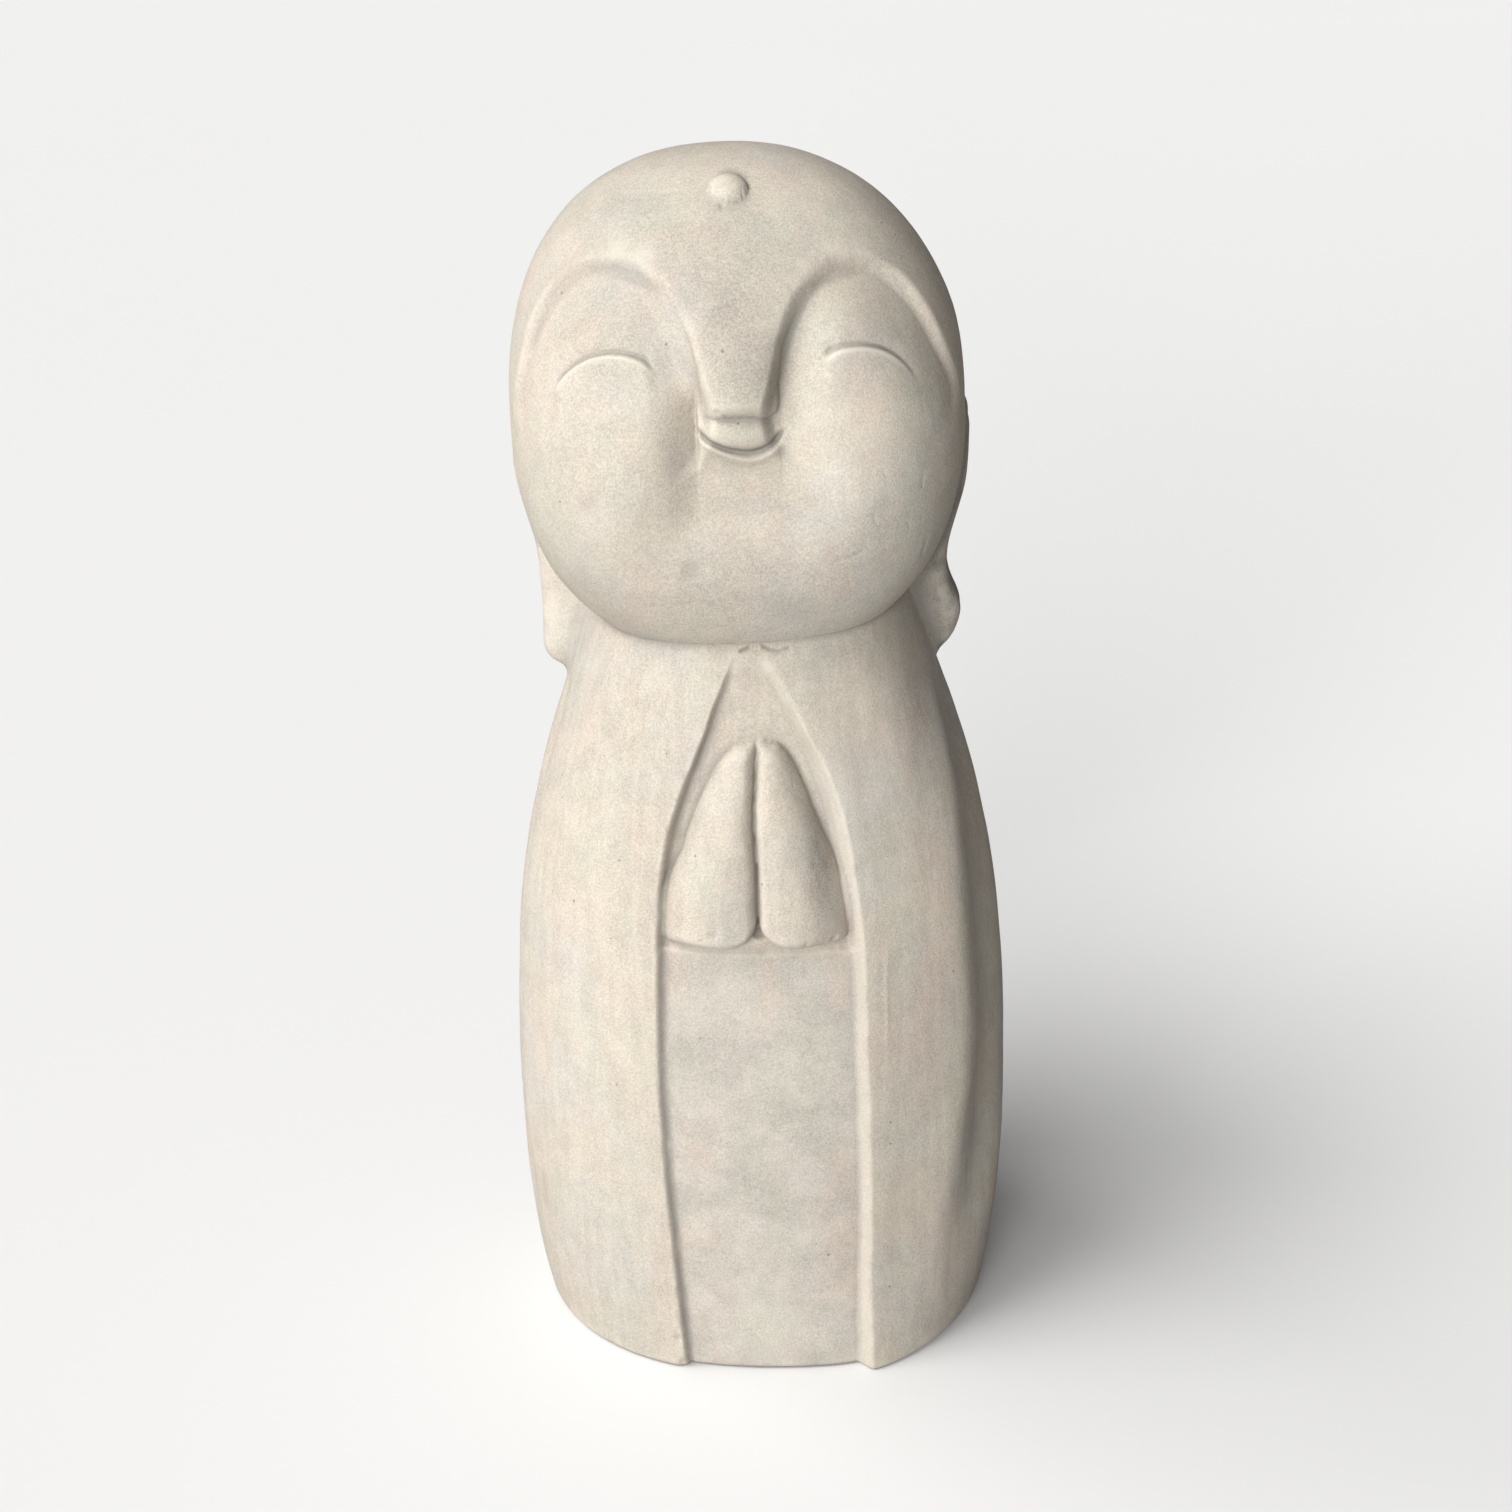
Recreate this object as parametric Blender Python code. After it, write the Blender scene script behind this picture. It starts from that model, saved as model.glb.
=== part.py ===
"""Standing figure of a smiling child monk with joined palms, cast in one piece of stone.

The figure is free form. Its outline and carving are drawn on a grid of 600 units from the
sole to the crown, and the grid is scaled to the height of the figure. The widths and depths
of robe and head are sizes of their own.

Axes: +Z up, the face looks along -Y, the viewer's right is +X. The sole stands on Z = 0.
"""

import bmesh
import bpy
import numpy as np
from math import radians

# Overall sizes, in millimetres
MILLIMETRE = 0.001
HEIGHT = 600.0
ROBE_WIDTH = 249.0
ROBE_DEPTH = 207.0
HEAD_WIDTH = 205.0
HEAD_DEPTH = 192.0

# From here on lengths are in grid units, and angles in degrees
GRID = 600.0
UNIT = HEIGHT / GRID
METRES = UNIT * MILLIMETRE

# Head: an egg that leans back and looks up
HEAD_CENTRE = (-5.0, -2.0, 486.4)
HEAD_LENGTH = 227.3
HEAD_TILT = 19.0
HEAD_LEAN = 2.0
HEAD_TURN = 3.6
HEAD_RING = 2.10
HEAD_CHEEK_RING = 2.55
HEAD_CROWN = 2.25
HEAD_JAW = 2.45
CROWN_SHIFT = 3.4
NECK_FILLET = 7.0
NECK_HEIGHT = 360.0

# Robe: a rounded block, as (height, share of the half width) and (height, share of the half depth)
ROBE_SECTION = 2.25
ROBE_TOP = 430.0
ROBE_SIDE = ((0, 0.925), (20, 0.956), (50, 0.982), (110, 1.000), (190, 0.979), (245, 0.931),
             (300, 0.838), (345, 0.726), (395, 0.588), (430, 0.460))
ROBE_FRONT = ((0, 0.985), (60, 1.000), (150, 1.000), (250, 0.970), (330, 0.905),
              (395, 0.815), (430, 0.680))
SOLE_ROUND = 3.0

# Ears: long flaps behind the cheeks, their edge as (height, distance out from the head's half width)
EAR_MIDDLE = ((352, 9.0), (400, 12.0), (440, 17.0), (482, 24.0))
EAR_BREADTH = ((352, 20.0), (400, 21.0), (430, 30.0), (455, 38.0), (482, 34.0))
EAR_TOP = 482.0
EAR_FOOT_LEFT = 348.0
EAR_FOOT_RIGHT = 353.0
EAR_TURN = 0.35
EAR_HOLLOW = 3.5
EAR_HOLLOW_HEIGHT = 452.0
EAR_EDGE = ((352, -5.0), (384, -6.0), (408, -5.5), (446, 3.6), (482, 3.6))
LOBE_FLARE = 8.0
LOBE_HEIGHT = 378.0

# Front opening of the robe, its edges as (height, distance round the robe from the middle)
OPENING_LEFT = ((0, -37.5), (80, -42), (137, -44.8), (222, -44.8), (263, -43.1), (287, -41.5),
                (304, -38.3), (327, -31.4), (352, -21.9), (374, -13.5), (398, -3))
OPENING_RIGHT = ((0, 54), (80, 55), (190, 53), (262, 50), (282, 47), (303, 45), (324, 41), (344, 34),
                 (361, 25.5), (380, 17), (400, 7.5))
OPENING_DEPTH = ((234, 5.5), (254, 4.8), (330, 4.8), (370, 4.0), (390, 2.8), (404, 0.0))
OPENING_WALL_LEFT = 3.4
OPENING_WALL_RIGHT = ((150, 6.5), (300, 5.0))
PANEL_TOP = 249.0
PANEL_RISE = 1.6
LIP_RISE = ((376, 0.7), (396, 0.0))
HEM_KICK = 7.0
HEM_KICK_PLACE = 60.0
HEM_KICK_REACH = 30.0

# Joined hands, their outer edge as (height, distance from the seam between them)
HAND_RISE = 12.5
HAND_FOOT = 251.0
HAND_TIP = 356.0
HAND_ROUND = 13.0
HAND_CORNER = 5.0
HAND_SEAM = ((250, 4.8), (286, 4.4), (324, 3.6), (356, 5.0))
HAND_OUTER = ((250, 44.0), (268, 44.0), (284, 41.5), (300, 36.5), (316, 30.5), (332, 24.0),
              (345, 17.5), (351, 13.0), (354, 9.5), (356, 3.0))
HAND_CREST = 0.33

# Folds where the sleeves hang at both sides, as (height, distance round the robe), and at the back
FOLD_RIGHT = ((0, 97), (30, 99.5), (59, 101), (95, 106.5), (129, 112), (161, 117), (220, 117.5),
              (268, 116.5), (319, 119), (340, 118))
FOLD_RIGHT_REACH = ((80, 12.0), (140, 40.0))
FOLD_LEFT = ((0, 122), (100, 142), (200, 146), (270, 140), (337, 122))
FOLD_DEPTH = 6.5
FOLD_TOP = 368.0
BACK_FOLDS = ((34, 2.2), (92, 2.8))
BACK_FOLD_TOP = 330.0

# Eye sockets, their wall as (angle from straight down, distance from the socket's middle)
SOCKET_MIDDLE = (48.0, 14.0)
SOCKET_WALL = ((0, 60.0), (60, 45.0), (83, 35.5), (115, 34.0), (147, 40.0), (177, 47.5),
               (205, 48.0), (234, 46.0), (265, 46.5), (283, 51.4), (360, 60.0))
SOCKET_DEPTH = ((0, 0.0), (20, 0.5), (60, 5.5), (90, 7.0), (135, 6.2), (180, 4.4),
                (225, 4.2), (262, 3.4), (283, 1.9), (300, 0.3), (315, 0.0), (360, 0.0))
SOCKET_SLOPE = ((0, 7.0), (60, 7.0), (100, 8.0), (140, 10.0), (180, 8.0), (225, 5.0), (360, 4.5))

# Closed eyes, as (distance from the nose line, height on the face)
EYE_LEFT = ((-79, 8.8), (-72, 15.8), (-63.4, 20.4), (-54.2, 22.0), (-43.9, 20.6), (-38.4, 18.0),
            (-34, 13.5))
EYE_RIGHT = ((35, 16.2), (42.5, 20.2), (49.4, 21.3), (58.1, 21.0), (64.2, 19.4), (70.7, 15.7),
             (76.4, 9.5), (80.5, 1.5))
EYE_DEPTH = 1.2

# Nose, upper lip, smile, chin and cheeks
NOSE_SIDE = ((-9, 17.6), (10, 17.2), (27, 20.5), (44, 29.0))
NOSE_MIDDLE = 1.2
NOSE_RISE = 11.5
NOSE_FOOT = -6.8
NOSE_ROUND = 6.0
NOSE_CORNER = 7.0
NOSE_ROOT = 50.0
LIP_HALF = 19.0
LIP_BULGE = 5.0
SMILE = ((-20.0, -9.0), (-15, -14.2), (-8, -18.0), (0, -19.7), (8, -19.1), (14.5, -15.8), (20.0, -9.4))
SMILE_DEPTH = 2.0
CHIN_HALF = ((-95, 14.0), (-70, 17.0), (-45, 18.5), (-15, 18.5))
CHIN_SLOPE = ((-95, 48.0), (-70, 42.0), (-45, 36.0), (-15, 28.0))
CHIN_DEPTH = 9.5
CHEEK_RISE = 1.5
CHEEK_PLACE = (45.0, -38.0)

# Round mark on the forehead
MARK_PLACE = (-0.3, -63.0, 88.5)
MARK_RADIUS = 8.6
MARK_RISE = 5.0

# Stone
STONE_COLOUR = (0.58, 0.54, 0.47, 1.0)
STONE_ROUGHNESS = 0.9

# Grid of the drawing and the facets kept from it
CROWN_STEP = 1.6
SOLE_STEP = 4.0
FACE_STEP = 1.6
FRONT_STEP = 1.1
EAR_STEP = 1.3
BACK_STEP = 4.0
FACETS = 9400


def curve(at, pairs):
    """Smooth curve through (place, value) pairs, level beyond its ends."""
    knots = np.array([pair[0] for pair in pairs], float)
    values = np.array([pair[1] for pair in pairs], float)
    spans = np.diff(knots)
    slopes = np.diff(values) / spans
    tangents = np.empty_like(values)
    weighted = slopes[:-1] * spans[1:] + slopes[1:] * spans[:-1]
    tangents[1:-1] = weighted / (knots[2:] - knots[:-2])
    tangents[0] = slopes[0]
    tangents[-1] = slopes[-1]
    at = np.clip(at, knots[0], knots[-1])
    i = np.clip(np.searchsorted(knots, at, side="right") - 1, 0, len(spans) - 1)
    t = (at - knots[i]) / spans[i]
    start = (1 + 2 * t) * (1 - t) ** 2 * values[i] + t * (1 - t) ** 2 * spans[i] * tangents[i]
    end = t * t * (3 - 2 * t) * values[i + 1] - t * t * (1 - t) * spans[i] * tangents[i + 1]
    return start + end


def rise(x):
    """Smooth step from 0 at x = 0 to 1 at x = 1."""
    t = np.clip(x, 0, 1)
    return t * t * (3 - 2 * t)


def bump(x):
    """Bell of height 1 at x = 0."""
    return np.exp(-x * x)


def join(a, b, width):
    """Union of two distances with a fillet as wide as width."""
    near = np.maximum(width - np.abs(a - b), 0) / width
    return np.minimum(a, b) - near * near * width / 4


def meet(a, b, width):
    """Overlap of two distances with an edge rounded as wide as width."""
    return -join(-a, -b, width)


def head_axes():
    """The head's own x, y and z directions, as columns."""
    tilt = radians(HEAD_TILT)
    lean = radians(HEAD_LEAN)
    turn = radians(HEAD_TURN)
    tilted = np.array(((1, 0, 0),
                       (0, np.cos(tilt), np.sin(tilt)),
                       (0, -np.sin(tilt), np.cos(tilt))))
    leaning = np.array(((np.cos(lean), 0, -np.sin(lean)),
                        (0, 1, 0),
                        (np.sin(lean), 0, np.cos(lean))))
    turned = np.array(((np.cos(turn), -np.sin(turn), 0),
                       (np.sin(turn), np.cos(turn), 0),
                       (0, 0, 1)))
    return leaning @ tilted @ turned


def on_head(points):
    """Points measured from the head's centre along its own directions."""
    return (points - np.array(HEAD_CENTRE)) @ head_axes()


def head_distance(points):
    """Distance outside the head's egg."""
    half = np.array((HEAD_WIDTH / UNIT, HEAD_DEPTH / UNIT, HEAD_LENGTH)) / 2
    local = on_head(points)
    up = local[..., 2] / half[2]
    local[..., 0] = local[..., 0] + CROWN_SHIFT * rise((up - 0.2) / 0.8)
    share = np.abs(local / half)
    power = HEAD_JAW + (HEAD_CROWN - HEAD_JAW) / (1 + np.exp(-up / 0.15))
    bend = HEAD_CHEEK_RING + (HEAD_RING - HEAD_CHEEK_RING) / (1 + np.exp(-(up - 0.32) / 0.12))
    ring = (share[..., 0] ** bend + share[..., 1] ** bend) ** (1 / bend)
    size = (ring ** power + share[..., 2] ** power) ** (1 / power)
    reach = np.linalg.norm(points - np.array(HEAD_CENTRE), axis=-1)
    return reach * (1 - 1 / np.maximum(size, 1e-6))


def robe_distance(points):
    """Distance outside the robe's rounded block."""
    x, y, z = points[..., 0], points[..., 1], points[..., 2]
    half_width = curve(z, ROBE_SIDE) * ROBE_WIDTH / UNIT / 2
    half_depth = curve(z, ROBE_FRONT) * ROBE_DEPTH / UNIT / 2
    ring = np.abs(x / half_width) ** ROBE_SECTION + np.abs(y / half_depth) ** ROBE_SECTION
    size = ring ** (1 / ROBE_SECTION)
    side = np.hypot(x, y) * (1 - 1 / np.maximum(size, 1e-6))
    return meet(side, z - ROBE_TOP, 10)


def ear_section(x, z):
    """Middle and breadth of the ear flaps, whose front face turns back towards the outer edge."""
    outer = np.abs(x - HEAD_CENTRE[0]) - HEAD_WIDTH / UNIT / 2
    return curve(z, EAR_MIDDLE) + EAR_TURN * outer / 2, curve(z, EAR_BREADTH) - EAR_TURN * outer


def ear_distance(points):
    """Distance outside the two ear flaps."""
    x, y, z = points[..., 0], points[..., 1], points[..., 2]
    flare = LOBE_FLARE * bump((z - LOBE_HEIGHT) / 15) * (x > 0)
    edge = HEAD_WIDTH / UNIT / 2 + curve(z, EAR_EDGE) + flare
    across = np.abs(x - HEAD_CENTRE[0]) - edge
    middle, breadth = ear_section(x, z)
    through = np.abs(y - middle) - breadth / 2
    foot = np.where(x > 0, EAR_FOOT_RIGHT, EAR_FOOT_LEFT)
    along = np.maximum(foot - z, z - EAR_TOP)
    return meet(meet(across, through, 9), along, 16)


def figure_distance(points):
    """Distance outside the whole figure before it is carved."""
    body = join(head_distance(points), robe_distance(points), NECK_FILLET)
    return join(body, ear_distance(points), 6)


def rays(levels, turns):
    """Start and direction of one ray for each level and turn round the figure's axis."""
    height = np.repeat(levels[:, :1], len(turns), axis=1)
    climb = np.repeat(levels[:, 1:], len(turns), axis=1)
    shift = rise((height - NECK_HEIGHT) / (HEAD_CENTRE[2] - NECK_HEIGHT))
    start = np.stack((HEAD_CENTRE[0] * shift, HEAD_CENTRE[1] * shift, height), -1)
    level_part = np.cos(climb)
    way = np.stack((np.sin(turns) * level_part, -np.cos(turns) * level_part, np.sin(climb)), -1)
    return start, way


def plain_surface(levels, turns):
    """Points of the uncarved figure, found along the rays by halving."""
    start, way = rays(levels, turns)
    near = np.full(start.shape[:2], 20.0)
    far = np.full(start.shape[:2], 200.0)
    for _ in range(26):
        middle = (near + far) / 2
        inside = figure_distance(start + way * middle[..., None]) < 0
        near = np.where(inside, middle, near)
        far = np.where(inside, far, middle)
    return start + way * far[..., None]


def outward(points):
    """Unit normals of the uncarved figure."""
    offsets = np.eye(3) * 0.05
    slope = [figure_distance(points + step) - figure_distance(points - step) for step in offsets]
    slope = np.stack(slope, -1)
    return slope / np.linalg.norm(slope, axis=-1, keepdims=True)


def distance_round(points):
    """Distance round the figure from the front line, negative to the viewer's left."""
    steps = np.linalg.norm(np.diff(points, axis=1, append=points[:, :1]), axis=2)
    total = steps.sum(axis=1, keepdims=True)
    travelled = np.cumsum(steps, axis=1) - steps
    return np.where(travelled > total / 2, travelled - total, travelled), total / 2


def slant(at, pairs):
    """How much longer a curve runs than the height it covers."""
    return np.hypot(1, curve(at + 1, pairs) - curve(at, pairs))


def opening_relief(s, z):
    """The robe's front opening with its sunk panel, raised right lip and kicked out hem."""
    left = curve(z, OPENING_LEFT)
    right = curve(z, OPENING_RIGHT)
    left_wall = OPENING_WALL_LEFT * slant(z, OPENING_LEFT)
    right_wall = curve(z, OPENING_WALL_RIGHT) * slant(z, OPENING_RIGHT)
    sheer = 1 - np.clip(1 - (s - left) / left_wall, 0, 1) ** 2.6
    inside = sheer * rise((right - s) / right_wall + 0.5)
    depth = curve(z, OPENING_DEPTH)
    panel = PANEL_RISE * rise((PANEL_TOP - z) / 2.5)
    kick = bump((s - HEM_KICK_PLACE) / HEM_KICK_REACH) * rise((70 - z) / 90) * rise((s - right) / 5 + 0.5)
    lip = curve(z, LIP_RISE) * bump((s - right - 4) / 4)
    return lip + HEM_KICK * kick + (panel - depth) * inside


def hands_relief(s, z):
    """Two palms pressed together, rounded at the tips, at the seam and at the foot.

    Across a palm the height is an oval from its crest to the outer edge, and falls by a quarter
    from the crest to the seam.
    """
    seam = curve(z, HAND_SEAM)
    outer = curve(z, HAND_OUTER)
    aside = np.abs(s - seam)
    share = np.clip(aside / outer, 0, 1)
    beyond = np.clip((share - HAND_CREST) / (1 - HAND_CREST), 0, 1)
    before = np.clip(1 - share / HAND_CREST, 0, 1)
    section = (1 - beyond ** 1.9) ** 0.85 * (1 - 0.22 * before ** 2)
    seam_round = np.where(s < seam, 6.0, 3.0)
    seam_cut = 0.3 + 0.7 * np.sqrt(1 - np.clip(1 - aside / seam_round, 0, 1) ** 2)
    inner = np.sqrt(1 - np.clip(1 - aside / HAND_ROUND, 0, 1) ** 2)
    corner = np.sqrt(1 - np.clip(1 - (outer - aside) / HAND_CORNER, 0, 1) ** 2)
    bottom = HAND_FOOT + HAND_ROUND * (1 - inner) + HAND_CORNER * (1 - corner)
    foot = np.sqrt(1 - np.clip((bottom + 7 - z) / 7, 0, 1) ** 2)
    tip = np.sqrt(1 - np.clip(1 - (HAND_TIP - z) / 9, 0, 1) ** 2)
    slender = 0.66 + 0.34 * rise((HAND_TIP - z) / 55)
    return HAND_RISE * section * seam_cut * foot * tip * slender


def fold_relief(s, z, half_round):
    """Folds beside the sleeves and down the back."""
    right = s - curve(z, FOLD_RIGHT)
    left = -s - curve(z, FOLD_LEFT)
    crest = 2.4 * rise((right + 30) / 30) * (right < 0) + 2.4 * (right >= 0) * rise(1 - right / 40)
    beyond = 1 - np.clip(1 - right / 10, 0, 1) ** 1.8
    beyond = beyond * (1 - rise((right - 8) / curve(z, FOLD_RIGHT_REACH)))
    sides = crest - FOLD_DEPTH * beyond
    sides = sides + 0.6 * bump((left + 3) / 8) - 0.4 * FOLD_DEPTH * bump((left - 9) / 9)
    sides = sides * (0.25 + 0.75 * rise(z / 50))
    from_back = half_round - np.abs(s)
    back = sum(-depth * bump((from_back - place) / 11) for place, depth in BACK_FOLDS)
    return sides * rise((FOLD_TOP - z) / 40) + back * rise((BACK_FOLD_TOP - z) / 120)


def socket_relief(x, z):
    """Eye sockets sunk below the brows and beside the nose, swelling back out to the cheeks."""
    aside = SOCKET_MIDDLE[0] - np.abs(x)
    below = SOCKET_MIDDLE[1] - z
    angle = np.degrees(np.arctan2(aside, below)) % 360
    wall = curve(angle, SOCKET_WALL)
    slope = curve(angle, SOCKET_SLOPE)
    inward = wall - np.hypot(aside, below)
    sunk = rise(inward / slope)
    swell = 1 - rise(1.1 * (inward - slope) / (wall - slope))
    return -curve(angle, SOCKET_DEPTH) * sunk * swell


def groove(x, z, line, depth, width, ends):
    """A groove along a line, given as height over distance, that fades out towards its ends."""
    off = (z - curve(x, line)) / slant(x, line)
    fade = rise((x - line[0][0]) / ends) * rise((line[-1][0] - x) / ends)
    return -depth * bump(off / width) * fade, off, fade


def face_relief(x, y, z):
    """Carving of the face, x and z measured on the face and y behind it.

    The nose is an oval dome with a sheer foot. The upper lip is an oval that drops to the smile
    line, and the chin is sunk between the cheeks.
    """
    relief = socket_relief(x, z)
    half = curve(z, NOSE_SIDE)
    aside = np.abs(x - NOSE_MIDDLE)
    corner = np.clip(1 - (half - aside) / NOSE_CORNER, 0, 1)
    foot = NOSE_FOOT + NOSE_CORNER * (1 - np.sqrt(1 - corner ** 2))
    under = np.sqrt(1 - np.clip(1 - (z - foot) / NOSE_ROUND, 0, 1) ** 2)
    nose = np.clip(1 - (aside / half) ** 2, 0, 1) ** 0.55 * under
    relief = relief + NOSE_RISE * nose * rise((NOSE_ROOT - z) / 52)
    cut, off, fade = groove(x, z, SMILE, SMILE_DEPTH, 1.25, 7)
    oval = np.clip(1 - (x / LIP_HALF) ** 2, 0, 1)
    full = rise(off / 3 + 0.3) * (1 - 0.3 * rise((off - 4) / 9)) * rise((NOSE_FOOT + 0.5 - z) / 3)
    relief = relief + LIP_BULGE * oval * full
    relief = relief + cut + 0.8 * bump((off + 2.9) / 1.4) * fade
    for eye in (EYE_LEFT, EYE_RIGHT):
        cut, off, fade = groove(x, z, eye, EYE_DEPTH, 0.9, 6)
        lid = 1.3 * np.exp(np.minimum(off, 0) / 6) * rise(0.5 - off / 1.6)
        relief = relief + (cut + lid - 1.1 * bump((off - 2.2) / 2.6)) * fade
    flank = np.clip((np.abs(x) - curve(z, CHIN_HALF)) / curve(z, CHIN_SLOPE), 0, 1)
    crisp = 0.85 * rise((z + 62) / 44)
    chin = (1 - crisp) * (1 - rise(flank)) + crisp * (1 - flank) ** 2.2
    relief = relief - CHIN_DEPTH * chin * rise((-9 - z) / 24) * rise((z + 92) / 45)
    cheeks = bump((np.abs(x) - CHEEK_PLACE[0]) / 30) * bump((z - CHEEK_PLACE[1]) / 32)
    relief = relief + CHEEK_RISE * cheeks
    from_mark = np.hypot(np.hypot(x - MARK_PLACE[0], y - MARK_PLACE[1]), z - MARK_PLACE[2])
    relief = relief + MARK_RISE * np.clip(1 - (from_mark / MARK_RADIUS) ** 2, 0, 1) ** 0.6
    return relief * rise((20 - y) / 40)


def ear_relief(x, y, z):
    """A hollow within the rim of each ear that runs out down its lobe."""
    middle, breadth = ear_section(x, z)
    off = (y - middle) / breadth
    tall = bump((z - EAR_HOLLOW_HEIGHT) / 19) + 0.45 * bump((z - LOBE_HEIGHT) / 26)
    outer = rise((np.abs(x - HEAD_CENTRE[0]) - HEAD_WIDTH / UNIT / 2 + 14) / 6)
    return -EAR_HOLLOW * bump(off / 0.27) * tall * outer


def carved_surface(levels, turns):
    """Points of the finished figure in metres, one row for each level."""
    plain = plain_surface(levels, turns)
    s, half_round = distance_round(plain)
    z = plain[..., 2]
    robe = opening_relief(s, z) + hands_relief(s, z) + fold_relief(s, z, half_round)
    local = on_head(plain)
    face = face_relief(local[..., 0], local[..., 1], local[..., 2])
    nearer = rise((head_distance(plain) - robe_distance(plain)) / 6 + 0.5) * (levels[:, 1:] == 0)
    ear = ear_relief(plain[..., 0], plain[..., 1], z) * (levels[:, 1:] == 0)
    relief = robe * nearer + face * (1 - nearer) + ear
    carved = plain + outward(plain) * relief[..., None]
    above_sole = np.clip(levels[:, :1] / SOLE_ROUND, 0, 1)
    inset = SOLE_ROUND * (1 - np.sqrt(1 - (1 - above_sole) ** 2)) * (levels[:, 1:] == 0)
    flat_out = outward(plain) * (1, 1, 0)
    carved = carved - flat_out * inset[..., None]
    carved[0, :, 2] = 0
    return carved * METRES


def drawing_grid():
    """Levels as (height, climb of the ray) and turns round the axis, closest at the front."""
    sole = np.array((0.0, 0.4, 1.2, 3.0))
    skirt = np.arange(6, PANEL_TOP - 10, SOLE_STEP)
    chest = np.arange(PANEL_TOP - 8, HEAD_CENTRE[2], FACE_STEP)
    heights = np.concatenate((sole, skirt, chest))
    low = np.stack((heights, np.zeros_like(heights)), 1)
    climbs = np.radians(np.arange(0, 89, CROWN_STEP * 0.55))
    high = np.stack((np.full_like(climbs, HEAD_CENTRE[2]), climbs), 1)
    ears = np.arange(75, 115, EAR_STEP)
    back = np.arange(115, 245, BACK_STEP)
    front = np.arange(0, 75, FRONT_STEP)
    turns = np.radians(np.concatenate((front, ears, back, 360 - ears[::-1], 360 - front[:0:-1])))
    return np.concatenate((low, high)), turns


def grid_faces(rows, columns):
    """Quads of the grid, closed round the figure, with a fan at the crown and one at the sole."""
    lower = np.arange(rows - 1)[:, None] * columns + np.arange(columns)
    beside = np.arange(rows - 1)[:, None] * columns + (np.arange(columns) + 1) % columns
    quads = np.stack((lower, beside, beside + columns, lower + columns), -1).reshape(-1, 4)
    crown = rows * columns
    last = crown - columns
    faces = quads.tolist()
    for column in range(columns):
        after = (column + 1) % columns
        faces.append((last + column, last + after, crown))
        faces.append((after, column, crown + 1))
    return faces


def flatten_sole(statue):
    """Set the vertices of the underside exactly on the ground."""
    mesh = bmesh.new()
    mesh.from_mesh(statue.data)
    for vertex in mesh.verts:
        if vertex.co.z < 0.1 * METRES:
            vertex.co.z = 0.0
    bmesh.ops.recalc_face_normals(mesh, faces=mesh.faces)
    mesh.to_mesh(statue.data)
    mesh.free()


def keep_facets(statue, facets):
    """Collapse the drawing's grid to the wanted number of triangles."""
    statue.data.calc_loop_triangles()
    collapse = statue.modifiers.new("Facets", "DECIMATE")
    collapse.ratio = facets / len(statue.data.loop_triangles)
    collapse.use_collapse_triangulate = True
    bpy.context.view_layer.objects.active = statue
    bpy.ops.object.modifier_apply(modifier=collapse.name)


def stone():
    """Pale sand-coloured cast stone."""
    material = bpy.data.materials.new("cast_stone")
    material.use_nodes = True
    shader = material.node_tree.nodes["Principled BSDF"]
    shader.inputs["Base Color"].default_value = STONE_COLOUR
    shader.inputs["Roughness"].default_value = STONE_ROUGHNESS
    shader.inputs["Metallic"].default_value = 0.0
    return material


def build_statue():
    """The whole figure as one closed solid."""
    levels, turns = drawing_grid()
    surface = carved_surface(levels, turns)
    rows, columns = surface.shape[:2]
    crown = surface[-1].mean(axis=0)
    sole = surface[0].mean(axis=0)
    points = np.vstack((surface.reshape(-1, 3), crown, sole))
    mesh = bpy.data.meshes.new("statue")
    mesh.from_pydata(points.tolist(), [], grid_faces(rows, columns))
    mesh.update()
    statue = bpy.data.objects.new("statue", mesh)
    bpy.context.scene.collection.objects.link(statue)
    keep_facets(statue, FACETS)
    flatten_sole(statue)
    statue.data.shade_smooth()
    statue.data.materials.append(stone())
    return statue


def clear_scene():
    """Remove whatever the scene holds."""
    for item in list(bpy.data.objects):
        bpy.data.objects.remove(item, do_unlink=True)


clear_scene()
build_statue()
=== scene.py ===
"""Standing figure of a smiling child monk with joined palms, in cast stone, on a pale floor.

The figure is one closed surface, drawn on a grid of heights and turns round its axis. Lengths of
the drawing are in grid units, of which the figure is 600 tall.

Axes: +Z up, the face looks along -Y, the viewer's right is +X. The sole stands on Z = 0.
"""

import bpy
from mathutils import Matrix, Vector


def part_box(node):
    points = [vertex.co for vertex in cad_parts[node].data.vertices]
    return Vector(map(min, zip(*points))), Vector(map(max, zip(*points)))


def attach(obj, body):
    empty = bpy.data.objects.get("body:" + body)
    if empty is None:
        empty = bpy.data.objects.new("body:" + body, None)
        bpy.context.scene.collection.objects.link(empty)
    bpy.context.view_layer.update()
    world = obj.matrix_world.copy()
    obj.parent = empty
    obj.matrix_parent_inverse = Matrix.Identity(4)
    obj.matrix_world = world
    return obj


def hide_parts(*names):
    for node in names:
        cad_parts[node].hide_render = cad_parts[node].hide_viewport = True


bl_info = {
    "name": "Stone Child Monk",
    "version": (1, 0, 0),
    "blender": (4, 5, 0),
    "location": "View3D > Sidebar > Stone Figure",
    "description": "Carves a standing child monk in cast stone and sets its stage",
    "category": "Add Mesh",
}

from collections import namedtuple
from math import radians

import bpy
import numpy as np
from bpy.props import FloatProperty, FloatVectorProperty, IntProperty, PointerProperty
from mathutils import Quaternion, Vector

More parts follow.
